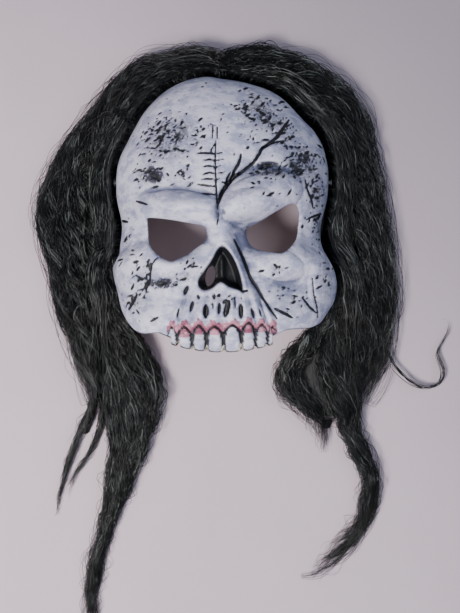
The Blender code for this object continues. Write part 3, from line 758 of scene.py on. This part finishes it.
def paint_guides(x, y, nose, tooth, in_teeth, in_row, arch):
    """Where the wash, the pink of the gums and solid black go, from 0 to 1 or a little over."""
    wash, core = np.zeros(x.shape), np.zeros(x.shape)
    for cx, cy, along, across, turn, strength, _ in PITTED:
        wash = np.maximum(wash, swell(x, y, cx, cy, along, across, turn, strength * 0.62))
    patchy = 0.22 * np.sin(1.9 * x + 0.8 * y) * np.sin(2.6 * y - 0.7 * x) + 0.12 * np.sin(4.3 * x - 2.9 * y)
    for cx, cy, along, across, turn in BLOTCHES:
        wash = np.maximum(wash, swell(x, y, cx, cy, along, across, turn, 2.3))
        core = np.maximum(core, swell(x, y, cx, cy, along * 0.8, across * 0.8, turn, 1.0) + patchy)
    which, _ = tooth_place(x)
    band = 5.2 + 1.3 * np.sin(x * 0.62 + 0.8) + 0.8 * np.sin(x * 1.9)
    gum = smooth_step((arch * 0.6 + GUM_LINE * 0.4 + band - y) / 1.6 + 0.5) * in_row
    fade = smooth_step((y - np.take(TOOTH_PINK_END, which)) / 3.0) * np.take(TOOTH_PINK, which)
    gum = gum * np.where(in_teeth > 0.5, smooth_step(-tooth / 0.7) * fade, 1.0)
    gap = in_teeth * in_row * smooth_step((tooth + 0.75) / 0.6)
    line = np.exp(-(((y - arch) / 1.6) ** 2)) * in_row * smooth_step((y - arch + 6) / 3)
    black = np.maximum(smooth_step((0.3 - nose) / 1.3), np.maximum(gap, smooth_step((line - 0.3) / 0.4)))
    black = np.maximum(black, 0.93 * smooth_step((core - 0.40) / 0.22))
    return {"wash": wash, "gum": gum, "black": np.clip(black, 0, 1)}


FLECKS = sow_flecks()

# ---- latex face

FACE_ANGLES = 660
FACE_RINGS = 140
CROWDING = 0.26  # how much closer the angles lie over the crown than over the teeth
HOLE_REACH = 2.5  # points this near to a hole's outline are drawn onto it
WALL = 2.0


def blurred(values, rounds):
    """Evened out over the face's rings and angles."""
    for _ in range(rounds):
        sides = (np.roll(values, 1, 1) + np.roll(values, -1, 1)) / 2
        up = np.concatenate([values[:1], values[:-1]])
        down = np.concatenate([values[1:], values[-1:]])
        values = 0.4 * values + 0.3 * sides + 0.15 * (up + down)
    return values


def face_grid():
    """Points of the face on rings about CENTRE, closest together at the rim."""
    even = np.linspace(0, 2 * pi, FACE_ANGLES, endpoint=False)
    angles = np.sort((even + CROWDING * np.sin(even + pi / 2)) % (2 * pi))
    shares = np.sin(0.5 * pi * (np.arange(FACE_RINGS) + 1) / FACE_RINGS) ** 0.92
    plain = np.interp(angles, TABLE_ANGLES, PLAIN_RADIUS)
    notched = np.interp(angles, TABLE_ANGLES, NOTCHED_RADIUS)
    reach = (plain[None] + (notched - plain)[None] * shares[:, None] ** 30) * shares[:, None]
    return CENTRE[0] + reach * np.cos(angles), CENTRE[1] + reach * np.sin(angles)


def cut_holes(x, y, quads):
    """Tells which quads lie in a hole, and draws the points at its edge onto its outline."""
    middle_x, middle_y = x[quads].mean(1), y[quads].mean(1)
    cut = np.zeros(len(quads), bool)
    for curve in HOLES:
        cut |= inside_outline(middle_x, middle_y, curve)
    edge = np.intersect1d(quads[cut].ravel(), quads[~cut].ravel())
    for curve in HOLES:
        ring = np.concatenate([curve, curve[:1]])
        d, along = distance_to(x[edge], y[edge], ring)
        near = d < HOLE_REACH
        at = along[near] * (len(ring) - 1)
        x[edge[near]] = np.interp(at, np.arange(len(ring)), ring[:, 0])
        y[edge[near]] = np.interp(at, np.arange(len(ring)), ring[:, 1])
    return cut


def shading(x, y, z, shape):
    """Painted shade of each point: darker in hollows, narrow and wide, and in the painted shadows."""
    z = z.reshape(shape)
    narrow, wide = blurred(z, 26) - z, blurred(z, 150) - z
    shade = smooth_step((narrow - 0.1) / 1.2) * 0.8 + smooth_step((wide - 0.4) / 5.0) * 0.6
    for place in PAINTED_SHADOWS:
        shade += swell(x, y, *place).reshape(shape)
    return shade.ravel()


def make_face():
    x, y = face_grid()
    rings, around = x.shape
    number = np.arange(rings * around).reshape(rings, around)
    here, ahead = number[:-1], number[1:]
    quads = np.stack([here, ahead, np.roll(ahead, -1, 1), np.roll(here, -1, 1)], -1).reshape(-1, 4)
    x, y = x.ravel(), y.ravel()
    cut = cut_holes(x, y, quads)
    z, fields = sculpt(x, y)
    fields["shade"] = shading(x, y, z, (rings, around))
    rim, inmost = number[-1], number[0]
    t = np.arctan2(y - CENTRE[1], x - CENTRE[0]) % (2 * pi)
    z[rim] = rim_height(t[rim]) + SKIRT
    skirt = np.stack([x[rim], y[rim], z[rim] - SKIRT], 1)
    middle = np.array([[*CENTRE, z[inmost].mean()]])
    verts = np.concatenate([np.stack([x, y, z], 1), skirt, middle])
    below = len(x) + np.arange(around)
    quads = np.concatenate([quads[~cut], np.stack([rim, below, np.roll(below, -1), np.roll(rim, -1)], -1)])
    fan = np.stack([np.full(around, len(verts) - 1), inmost, np.roll(inmost, -1)], -1)
    used = np.zeros(len(verts), bool)
    used[quads.ravel()] = True
    used[fan.ravel()] = True
    renumber = np.cumsum(used) - 1
    face = new_mesh("latex_face", metres(verts[used]), [renumber[quads], renumber[fan]])
    for name in ("shade", "wash", "gum", "black", "ink"):
        field = fields[name]
        set_attribute(face, name, np.concatenate([field, field[rim], [field[inmost].mean()]])[used])
    face.data.materials.append(material("latex", latex_look))
    face.data.materials.append(material("latex inside", latex_inside_look))
    wall = face.modifiers.new("thickness", "SOLIDIFY")
    wall.thickness = WALL * MM
    wall.offset = -1
    wall.material_offset = 1
    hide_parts("face_shell")
    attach(face, "face")


# ---- hair

STRAND_SIDES = 3
PIECE_TRIANGLES = 150000
SEGMENT = 4.5  # length of strand between bends
STATIONS = 160  # on a guide
THICKNESS = (0.2, 0.34)
FLOOR_GAP = 0.45
CURL_STRANDS, CURL_STATIONS = 16, 60
CLUMP_WAVES = (38, 75)  # shortest and longest
CLUMP_LIFTS = (-0.26, 0.14)  # of the mound's height
ROOT_LENGTH = 30  # over which the waves of a strand grow
GATHERED = 0.55  # share of its spread that a clump has lost at its tip
WILD_SHARE, WILDNESS = 0.12, 2.6
DEEPEST = 0.35  # of the mound's height
RIM_SPAN = (radians(-27), radians(207))
RIM_RADIUS = 100  # near enough to turn a length along the rim into an angle
SEAMS = (-112.0, 118.0)  # where the side hair hinges
VOXEL = 2.2
# Underlays: body, how far they sink, and the CAD locks they follow
UNDERLAYS = [
    ("face", 1.6, ("hair_roots_left", "hair_roots_crown", "hair_roots_right", "hair_left_under",
                   "hair_right_under")),
    ("left_hair", 1.6, ("hair_left",)),
    ("left_short_lock", 1.6, ("lock_left_short",)),
    ("left_long_lock", 2.2, ("lock_left_long",)),
    ("right_hair", 1.6, ("hair_right",)),
    ("right_long_lock", 2.2, ("hair_right_fall", "lock_right_tuft", "lock_right_long")),
]
# Past these heights on the drawing a lock is loose strands only
TIPS_BELOW = {"lock_left_long": -235, "lock_left_short": -165, "lock_right_long": -200,
              "lock_right_tuft": -160}

# Guides are (x, y, top height) from the root under the face's rim to the tip
CURTAIN_LEFT = [
    [(-14, 150, 5), (-32, 170, 24), (-60, 173, 24), (-92, 155, 20), (-122, 118, 16), (-150, 82, 13),
     (-163, 50, 12), (-163, 20, 12), (-156, -12, 12), (-147, -50, 12), (-136, -85, 12), (-124, -118, 10),
     (-119, -136, 8)],
    [(-40, 148, 5), (-58, 160, 28), (-86, 146, 24), (-112, 116, 20), (-135, 82, 18), (-148, 48, 17),
     (-149, 15, 17), (-144, -15, 16), (-137, -50, 16), (-129, -85, 15), (-120, -120, 11),
     (-117, -137, 8)],
    [(-66, 130, 5), (-82, 138, 30), (-102, 118, 26), (-118, 90, 22), (-132, 60, 20), (-136, 30, 20),
     (-134, 0, 21), (-130, -30, 21), (-126, -60, 21), (-121, -90, 21), (-117, -122, 18),
     (-115, -138, 10)],
    [(-84, 104, 5), (-98, 108, 32), (-108, 88, 28), (-115, 62, 24), (-117, 35, 23), (-116, 8, 23),
     (-115, -20, 25), (-114, -50, 25), (-113, -80, 25), (-113, -105, 24), (-112.5, -125, 21),
     (-112, -138, 12)],
]
SHORT_LOCK = [
    [(-133, -64, 14), (-128, -90, 14), (-119, -120, 12), (-122, -141, 9), (-131, -160, 8),
     (-143, -190, 6), (-149.5, -220, 4), (-153, -242, 2)],
    [(-127, -64, 16), (-123, -90, 15), (-116, -120, 12), (-119, -141, 9), (-127, -160, 8),
     (-138, -186, 6), (-147, -214, 4), (-152, -238, 2)],
]
FORK = [
    [(-120, -70, 16), (-117, -95, 15), (-113.5, -120, 12), (-111.5, -138, 9), (-112.5, -158, 7),
     (-123, -181, 6), (-137, -203, 5), (-145, -222, 3)],
    [(-117, -70, 16), (-115, -95, 15), (-112, -120, 12), (-110, -138, 9), (-110.5, -158, 7),
     (-121, -183, 6), (-135, -206, 5), (-143, -226, 3)],
]
LONG_LEFT = [
    [(-92, 84, 5), (-104, 84, 26), (-108, 60, 26), (-108, 30, 24), (-107, 0, 22), (-108, -30, 20),
     (-109, -60, 18), (-108, -90, 16), (-105, -120, 15), (-103, -155, 14), (-103, -190, 12),
     (-106, -225, 10), (-113, -252, 8), (-119, -280, 6), (-125, -318, 4), (-124, -354, 2)],
    [(-95, 50, 5), (-105, 46, 24), (-105, 20, 22), (-104, -8, 20), (-104, -35, 20), (-103, -62, 18),
     (-98, -92, 17), (-92, -122, 16), (-90, -155, 15), (-93, -190, 13), (-98, -225, 11),
     (-108, -256, 8), (-116, -284, 6), (-122, -320, 4), (-121, -353, 2)],
    [(-90, 10, 5), (-101, 0, 20), (-102, -22, 20), (-99, -45, 20), (-94, -68, 19), (-84, -92, 18),
     (-76, -120, 17), (-75, -152, 15), (-83, -188, 13), (-93, -220, 11), (-106, -252, 8),
     (-114, -282, 6), (-119, -318, 4), (-118, -350, 2)],
    [(-92, -20, 8), (-97, -35, 20), (-90, -55, 22), (-80, -72, 22), (-68, -90, 20), (-57, -112, 17),
     (-57, -138, 15), (-68, -170, 13), (-82, -202, 11), (-95, -228, 9), (-106, -252, 7),
     (-112.5, -280, 5), (-116, -310, 3)],
]
CURTAIN_RIGHT = [
    [(10, 152, 5), (30, 172, 24), (60, 175, 24), (88, 162, 22), (111, 145, 18), (128, 122, 14),
     (133, 95, 12), (140, 66, 12), (145, 35, 12), (150, 0, 12), (153, -30, 12), (152, -58, 11),
     (148, -88, 10), (140, -112, 9), (129, -136, 7)],
    [(40, 146, 5), (58, 160, 28), (83, 152, 26), (105, 132, 24), (121, 108, 22), (127, 80, 20),
     (132, 50, 20), (136, 20, 20), (139, -10, 19), (141, -40, 18), (140, -68, 16), (137, -92, 13),
     (131, -116, 10), (123, -138, 8)],
    [(66, 127, 5), (82, 138, 30), (102, 120, 28), (115, 98, 26), (122, 72, 24), (125, 45, 24),
     (127, 18, 23), (129, -10, 23), (130, -38, 22), (130, -64, 22), (127, -88, 21), (122, -112, 18),
     (117, -138, 10)],
    [(84, 108, 5), (98, 112, 32), (110, 92, 30), (116, 68, 27), (118, 42, 25), (119, 15, 24),
     (121, -12, 25), (121, -40, 25), (120, -65, 25), (118, -88, 24), (115, -112, 21), (112, -138, 12)],
]
LONG_RIGHT = [
    [(93, 85, 5), (107, 80, 26), (113, 55, 26), (114, 28, 24), (115, 0, 22), (117, -28, 20),
     (117, -55, 18), (117, -84, 17), (118, -112, 16), (120, -138, 14), (122, -160, 12),
     (132, -182, 10), (139, -206, 9), (137, -232, 7), (129, -252, 6), (116, -268, 5),
     (101, -283, 4), (84, -293, 3), (72, -296, 2)],
    [(94, 45, 5), (106, 38, 24), (107, 12, 22), (106, -10, 20), (109, -35, 20), (108, -60, 19),
     (105, -86, 18), (108, -112, 17), (113, -138, 15), (116, -160, 12), (126, -184, 10),
     (134, -208, 9), (132, -230, 7), (125, -247, 6), (113, -263, 5), (98, -278, 4), (82, -290, 3)],
    [(92, 5, 5), (103, -2, 20), (106, -22, 20), (106, -45, 20), (100, -66, 20), (90, -86, 19),
     (90, -110, 18), (98, -136, 15), (107, -158, 12), (119, -182, 10), (128, -206, 8),
     (127, -228, 7), (120, -244, 6), (108, -259, 5), (94, -274, 4)],
]
TUFT_RIGHT = [
    [(92, 5, 5), (103, -2, 20), (106, -22, 20), (104, -45, 20), (92, -68, 20), (78, -88, 19),
     (72, -108, 20), (84, -132, 16), (92, -154, 11), (94, -172, 7), (95, -184, 3)],
    [(100, -20, 8), (104, -36, 20), (98, -56, 23), (86, -70, 25), (72, -88, 25), (58, -104, 24),
     (58, -122, 21), (72, -140, 16), (86, -156, 11), (93, -172, 7), (94, -182, 3)],
    [(98, -30, 8), (98, -48, 20), (86, -64, 22), (70, -82, 23), (55, -98, 20), (49, -112, 16),
     (54, -130, 12), (66, -144, 8)],
]
CROWN_LEFT = [
    [(9, 152, 5), (3, 172, 24), (-22, 183, 22), (-48, 180, 16), (-70, 170, 12), (-90, 156, 8)],
    [(6, 150, 5), (0, 164, 28), (-22, 173, 28), (-46, 171, 24), (-70, 160, 18), (-92, 144, 12)],
]
CROWN_RIGHT = [
    [(-9, 152, 5), (-2, 173, 24), (26, 184, 22), (53, 181, 16), (76, 171, 12), (94, 156, 8)],
    [(-6, 150, 5), (0, 165, 28), (24, 174, 28), (50, 171, 24), (74, 160, 18), (92, 147, 12)],
]
CURL = [(140, -74), (148, -88), (158, -104.5), (172, -117.5), (184, -122), (196, -119), (200.5, -108),
        (195.5, -91), (200, -81), (206, -71), (205.5, -62), (199, -61), (195, -68)]


def resampled(points, count):
    """The guide as a smooth curve with evenly spaced points, and its length."""
    fine = curve_through(points, 12)
    steps = np.concatenate([[0], np.cumsum(np.linalg.norm(np.diff(fine, axis=0), axis=1))])
    return at_places(fine, steps, np.linspace(0, steps[-1], count)), steps[-1]


def at_places(line, marks, places):
    """Points of the line at the given places, where marks are the places of its own points."""
    return np.stack([np.interp(places, marks, line[:, k]) for k in range(3)], 1)


def sideways(line):
    """Unit vectors square to the line, seen from above."""
    along = np.gradient(line[:, :2], axis=0)
    along /= np.linalg.norm(along, axis=1)[:, None] + 1e-9
    return np.stack([-along[:, 1], along[:, 0]], 1)


def ripple(random, s, shortest, longest, phase=2 * pi):
    return np.sin(s / random.uniform(shortest, longest) + random.uniform(0, phase))


def among(rails, place):
    """Line that runs at the given place among the rails: 0 is on the first one, 1 on the second."""
    last = len(rails) - 1
    low = np.clip(np.floor(place).astype(int), 0, max(last - 1, 0))
    share = (place - low)[:, None]
    index = np.arange(rails.shape[1])
    return rails[low, index] * (1 - share) + rails[np.minimum(low + 1, last), index] * share


def comb(guides, count, seed, clumps, wave=3.4, keep=(0.82, 1.0), spread=1.0, frizz=1.0):
    """Strands between the guides: clumped, waved, frizzy and of uneven length.

    A strand is its centre line, half its thickness, and its tone.
    """
    random = np.random.default_rng(seed)
    rails, lengths = zip(*(resampled(raised(guide), STATIONS) for guide in guides), strict=True)
    rails, length = np.stack(rails), np.mean(lengths)
    last = len(guides) - 1
    middles = np.sort(random.uniform(0, last, clumps))
    phases = random.uniform(0, 2 * pi, clumps)
    waves = random.uniform(*CLUMP_WAVES, clumps)
    sizes = wave * random.uniform(0.5, 1.4, clumps)
    tones = random.uniform(0, 1, clumps)
    lifts = random.uniform(*CLUMP_LIFTS, clumps)
    t = np.linspace(0, 1, STATIONS)
    s = t * length
    turns = 2 * pi * s
    grown = smooth_step(s / ROOT_LENGTH)
    gather = 1 - GATHERED * smooth_step((t - 0.2) / 0.8)
    strands = []
    for _ in range(count):
        mine = random.integers(clumps)
        twist = np.cos(turns / random.uniform(60, 140) + random.uniform(0, 2 * pi))
        loose = random.normal(0, 0.2) * spread * gather * (0.55 + 0.45 * twist)
        line = among(rails, np.clip(middles[mine] + loose, -0.15, last + 0.15))
        turn = turns / waves[mine] + phases[mine] + random.normal(0, 0.4)
        wild = frizz * (WILDNESS if random.uniform() < WILD_SHARE else 1.0)
        own = random.normal(0, 1.5) * ripple(random, turns, 28, 70)
        own += random.normal(0, 0.55) * ripple(random, turns, 10, 20)
        line[:, :2] += sideways(line) * ((sizes[mine] * np.sin(turn) + wild * own) * grown)[:, None]
        bob = np.cos(turn) * 0.08 + wild * 0.06 * ripple(random, turns, 15, 45, 6)
        depth = DEEPEST + (1 - DEEPEST) * random.beta(2.4, 1.0) + (bob + lifts[mine]) * grown
        top = np.maximum(line[:, 2], 0.6)
        line[:, 2] = np.maximum(top * np.clip(depth, 0.06, 1.15), FLOOR_GAP)
        end = random.uniform(*keep)
        line = at_places(line, t, np.linspace(0, end, max(int(length * end / SEGMENT), 8)))
        tone = 0.5 * tones[mine] + 0.5 * random.uniform()
        strands.append((line, random.uniform(*THICKNESS), tone))
    return strands


def raised(guide):
    """The guide with its root coming out steeply from under the rim."""
    (x, y, z), (x2, y2, z2) = guide[:2]
    if hypot(x2 - x, y2 - y) > 30 or z2 < z + 6:
        return guide
    return [(x, y, z), (x + 0.3 * (x2 - x), y + 0.3 * (y2 - y), 0.72 * z2), *guide[1:]]


def rim_hair(count, seed):
    """Short hair all along the rim, coming out from under it and bending down over the mound."""
    random = np.random.default_rng(seed)
    strands = []
    for _ in range(count):
        start = random.uniform(*RIM_SPAN)
        side = 1 if start < pi / 2 + random.normal(0, 0.08) else -1
        run = random.uniform(36, 95)
        s = np.linspace(0, run, int(run / SEGMENT) + 3)
        reach = random.uniform(9, 27)
        out = -3 + reach * (1 - np.exp(-s / (0.7 * reach)))
        top = random.uniform(19, 31)
        z = 5 + top * (1 - np.exp(-s / 6.5)) - 0.0016 * random.uniform(0, 1) * s**2
        turns = start - side * np.maximum(s - 5, 0) * random.uniform(0.45, 1.1) / RIM_RADIUS
        out = out + random.normal(0, 1.6) * ripple(random, s, 6, 12, 6) * smooth_step(s / 20)
        line = []
        for k, turn in enumerate(turns):
            t = min(max(turn, RIM_SPAN[0] - 0.1), RIM_SPAN[1] + 0.1)
            left_over = abs(turn - t) * RIM_RADIUS
            point, normal = plain_rim(t)
            x, y = point + normal * out[k]
            line.append((x, y - left_over, max(z[k] - 0.1 * left_over, 1.0)))
        strands.append((np.array(line), random.uniform(0.18, 0.32), random.uniform(0, 1)))
    return strands


def stray_hair(guide, count, seed, width):
    """Single frizzy hairs that stand away from the silhouette."""
    random = np.random.default_rng(seed)
    route, length = resampled(guide, 200)
    marks = np.linspace(0, 1, len(route))
    strands = []
    for _ in range(count):
        begin = random.uniform(0.05, 0.85)
        span = random.uniform(0.12, 0.34)
        at = np.clip(np.linspace(begin, begin + span, int(span * length / SEGMENT) + 6), 0, 1)
        line = at_places(route, marks, at)
        u = np.linspace(0, 1, len(at))
        away = random.uniform(-0.3, 1.0) * width * np.sin(pi * u ** random.uniform(0.7, 1.3))
        away += random.normal(0, 1.3) * np.sin(u * random.uniform(6, 16) + random.uniform(0, 6))
        line[:, :2] += sideways(line) * away[:, None]
        line[:, 2] = np.maximum(line[:, 2] * random.uniform(0.4, 1.15), 0.5)
        strands.append((line, random.uniform(0.13, 0.2), random.uniform(0, 1)))
    return strands


def strand_meshes(name, strands, look):
    """Thin tapering tubes along the strands, split into pieces of a handy size."""
    pieces, batch, size = [], [], 0
    for strand in strands:
        batch.append(strand)
        size += len(strand[0]) * STRAND_SIDES * 2
        if size > PIECE_TRIANGLES or strand is strands[-1]:
            pieces.append(tube_mesh(f"{name}_{len(pieces) + 1}", batch, look))
            batch, size = [], 0
    return pieces


def tube_mesh(name, strands, look):
    verts, faces, tones = [], [], []
    first = 0
    spin = 2 * pi * np.arange(STRAND_SIDES) / STRAND_SIDES
    for line, thick, tone in strands:
        along = np.gradient(line, axis=0)
        along /= np.linalg.norm(along, axis=1)[:, None] + 1e-9
        side = np.cross(along, np.array([0.0, 0.0, 1.0]))
        side /= np.linalg.norm(side, axis=1)[:, None] + 1e-6
        lift = np.cross(side, along)
        n = len(line)
        taper = np.minimum(1.0, 0.25 + 3.0 * (1 - np.linspace(0, 1, n))) * thick
        ring = np.cos(spin)[None, :, None] * side[:, None] + np.sin(spin)[None, :, None] * lift[:, None]
        verts.append((line[:, None] + ring * taper[:, None, None]).reshape(-1, 3))
        number = first + np.arange(n * STRAND_SIDES).reshape(n, STRAND_SIDES)
        near, far = number[:-1], number[1:]
        faces.append(np.stack([near, np.roll(near, -1, 1), np.roll(far, -1, 1), far], -1).reshape(-1, 4))
        tones.append(np.full(n * STRAND_SIDES, tone))
        first += n * STRAND_SIDES
    ob = new_mesh(name, metres(np.concatenate(verts)), [np.concatenate(faces)])
    set_attribute(ob, "tone", np.concatenate(tones))
    ob.data.materials.append(look)
    return ob


def fine_copy(node):
    """The node's solid as an evenly and finely divided mesh of its own."""
    ob = bpy.data.objects.new(node + "_underlay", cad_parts[node].data.copy())
    bpy.context.scene.collection.objects.link(ob)
    fine = ob.modifiers.new("fine", "REMESH")
    fine.mode = "VOXEL"
    fine.voxel_size = VOXEL * MM
    fine.use_smooth_shade = True
    mesh = bpy.data.meshes.new_from_object(ob.evaluated_get(bpy.context.evaluated_depsgraph_get()))
    ob.modifiers.clear()
    ob.data = mesh
    return ob


def comb_underlay(mesh, sink):
    """Sinks the surface below the strands in combed grooves, and least where it meets a seam."""
    place, normal = np.empty(len(mesh.vertices) * 3, np.float32), np.empty(len(mesh.vertices) * 3, np.float32)
    mesh.vertices.foreach_get("co", place)
    mesh.vertices.foreach_get("normal", normal)
    place, normal = place.reshape(-1, 3), normal.reshape(-1, 3)
    x, y, z = ((place - DATUM) / MM).T
    groove = np.sin(2 * pi * (x + 5 * np.sin(y / 19) + 2 * np.sin(y / 7 + z / 5)) / 5.2)
    wave = np.sin(y / 9 + 3 * np.sin(x / 17))
    seam = np.minimum(np.abs(x - SEAMS[0]), np.abs(x - SEAMS[1]))
    depth = (sink - 0.7 * groove - 0.5 * wave) * np.clip(seam / 8, 0.12, 1)
    place -= normal * (depth * MM)[:, None].astype(np.float32)
    place[:, 2] = np.maximum(place[:, 2], 0.0)
    mesh.vertices.foreach_set("co", place.ravel())


def cut_tip(mesh, tip):
    bm = bmesh.new()
    bm.from_mesh(mesh)
    bmesh.ops.delete(bm, geom=[v for v in bm.verts if v.co.y < tip], context="VERTS")
    bm.to_mesh(mesh)
    bm.free()


def make_underlay(node, body, sink, look):
    ob = fine_copy(node)
    mesh = ob.data
    comb_underlay(mesh, sink)
    mesh.materials.clear()
    mesh.materials.append(look)
    mesh.update()
    if node in TIPS_BELOW:
        cut_tip(mesh, metres((0, TIPS_BELOW[node], 0))[1])
    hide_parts(node)
    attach(ob, body)


def blend_across(pieces, start_body, end_body, start, end):
    for piece in pieces:
        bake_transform(piece)


def make_hair():
    look = material("hair", hair_look)
    underlay = material("hair underlay", hair_mass_look)
    for body, sink, nodes in UNDERLAYS:
        for node in nodes:
            make_underlay(node, body, sink, underlay)

    def grow(name, strands, *joint):
        blend_across(strand_meshes(name, strands, look), *joint)

    strands = comb(CURTAIN_LEFT, 1000, 21, 60, wave=4.6) + stray_hair(CURTAIN_LEFT[0], 150, 41, -12)
    grow("curtain_left_strands", strands, "face", "left_hair", (-106, 0, 21), (-122, 0, 21))
    strands = comb(SHORT_LOCK, 170, 22, 8, wave=1.0, keep=(0.6, 1.0), spread=0.7, frizz=0.7)
    strands += comb(FORK, 80, 32, 4, wave=0.9, keep=(0.65, 1.0), spread=0.7, frizz=0.7)
    grow("short_lock_strands", strands, "left_hair", "left_short_lock", (-118, -124, 5), (-118, -142, 5))
    strands = comb(LONG_LEFT, 900, 23, 50, keep=(0.5, 1.0))
    strands += comb(LONG_LEFT[1:3], 60, 33, 4, wave=4.5, keep=(0.97, 1.0))
    strands += stray_hair(LONG_LEFT[0][5:], 40, 45, -8) + stray_hair(LONG_LEFT[3][3:], 40, 46, 8)
    grow("long_lock_left_strands", strands, "face", "left_long_lock", (-88, -70, 5), (-88, -108, 5))
    strands = comb(CURTAIN_RIGHT, 1000, 24, 60, wave=4.6) + stray_hair(CURTAIN_RIGHT[0], 150, 42, 12)
    grow("curtain_right_strands", strands, "face", "right_hair", (112, 0, 21), (128, 0, 21))
    strands = comb(LONG_RIGHT, 600, 25, 34, keep=(0.5, 1.0)) + comb(TUFT_RIGHT, 460, 26, 26, keep=(0.7, 1.0))
    strands += comb(LONG_RIGHT, 60, 35, 5, wave=4.5, keep=(0.9, 1.0))
    strands += stray_hair(LONG_RIGHT[0][7:], 45, 47, 8) + stray_hair(TUFT_RIGHT[2], 40, 48, -7)
    grow("long_lock_right_strands", strands, "face", "right_long_lock", (90, -70, 5), (90, -104, 5))
    strands = comb(CROWN_LEFT, 170, 27, 14, wave=1.6, keep=(0.5, 1.0))
    strands += comb(CROWN_RIGHT, 170, 28, 14, wave=1.6, keep=(0.5, 1.0))
    strands += stray_hair(CROWN_LEFT[0], 60, 43, -6) + stray_hair(CROWN_RIGHT[0], 60, 44, 6)
    strands += rim_hair(1150, 29)
    for piece in strand_meshes("crown_strands", strands, look):
        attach(piece, "face")
    make_curl(look)


def make_curl(look):
    random = np.random.default_rng(31)
    route, _ = resampled([(x, y, 5.0) for x, y in CURL], CURL_STATIONS)
    bends = np.linspace(0, 9, CURL_STATIONS)
    strands = []
    for _ in range(CURL_STRANDS):
        sway = random.normal(0, 1.3)
        line = route.copy()
        line[:, 0] += sway + 1.0 * np.sin(bends + random.uniform(0, 6))
        line[:, 1] += sway * 0.6 + 1.0 * np.cos(bends + random.uniform(0, 6))
        line[:, 2] = np.linspace(9, 2.5, CURL_STATIONS) + random.normal(0, 0.8)
        line[:, 2] = np.maximum(line[:, 2], 0.5)
        end = random.integers(40, CURL_STATIONS)
        strands.append((line[:end], 0.24, random.uniform(0, 1)))
    for piece in strand_meshes("curl_strands", strands, look):
        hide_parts("hair_curl_right")
        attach(piece, "right_hair")


# ---- the plain pieces

PLAIN = {
    "strap": "elastic",
    "wig_band": "knit",
    "weft_left": "thread",
    "weft_crown": "thread",
    "weft_right": "thread",
    "strap_patch_left": "latex inside",
    "strap_patch_right": "latex inside",
    "rivet_left": "steel",
    "rivet_right": "steel",
}
LOOKS = {
    "elastic": woven_look(420.0, 0.4, rgb(0.006, 0.006, 0.007), rgb(0.030, 0.030, 0.033), 0.8, 0.0004,
                          nap=lambda n, place: n.noise(place, 1800.0, 3.0), sheen=0.25),
    "knit": woven_look(260.0, 1.5, rgb(0.008, 0.008, 0.009), rgb(0.035, 0.035, 0.037), 0.92, 0.0006,
                       nap=lambda n, place: n.cells(place, 900.0), sheen=0.3),
    "thread": woven_look(500.0, 2.0, rgb(0.006, 0.006, 0.006), rgb(0.028, 0.028, 0.03), 0.85, 0.0004),
    "steel": steel_look,
}


def dress_plain_nodes():
    for name, look in LOOKS.items():
        material(name, look)
    for node, name in PLAIN.items():
        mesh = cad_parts[node].data
        mesh.materials.clear()
        mesh.materials.append(bpy.data.materials[name])


make_camera()
make_stage()
make_face()
make_hair()
dress_plain_nodes()
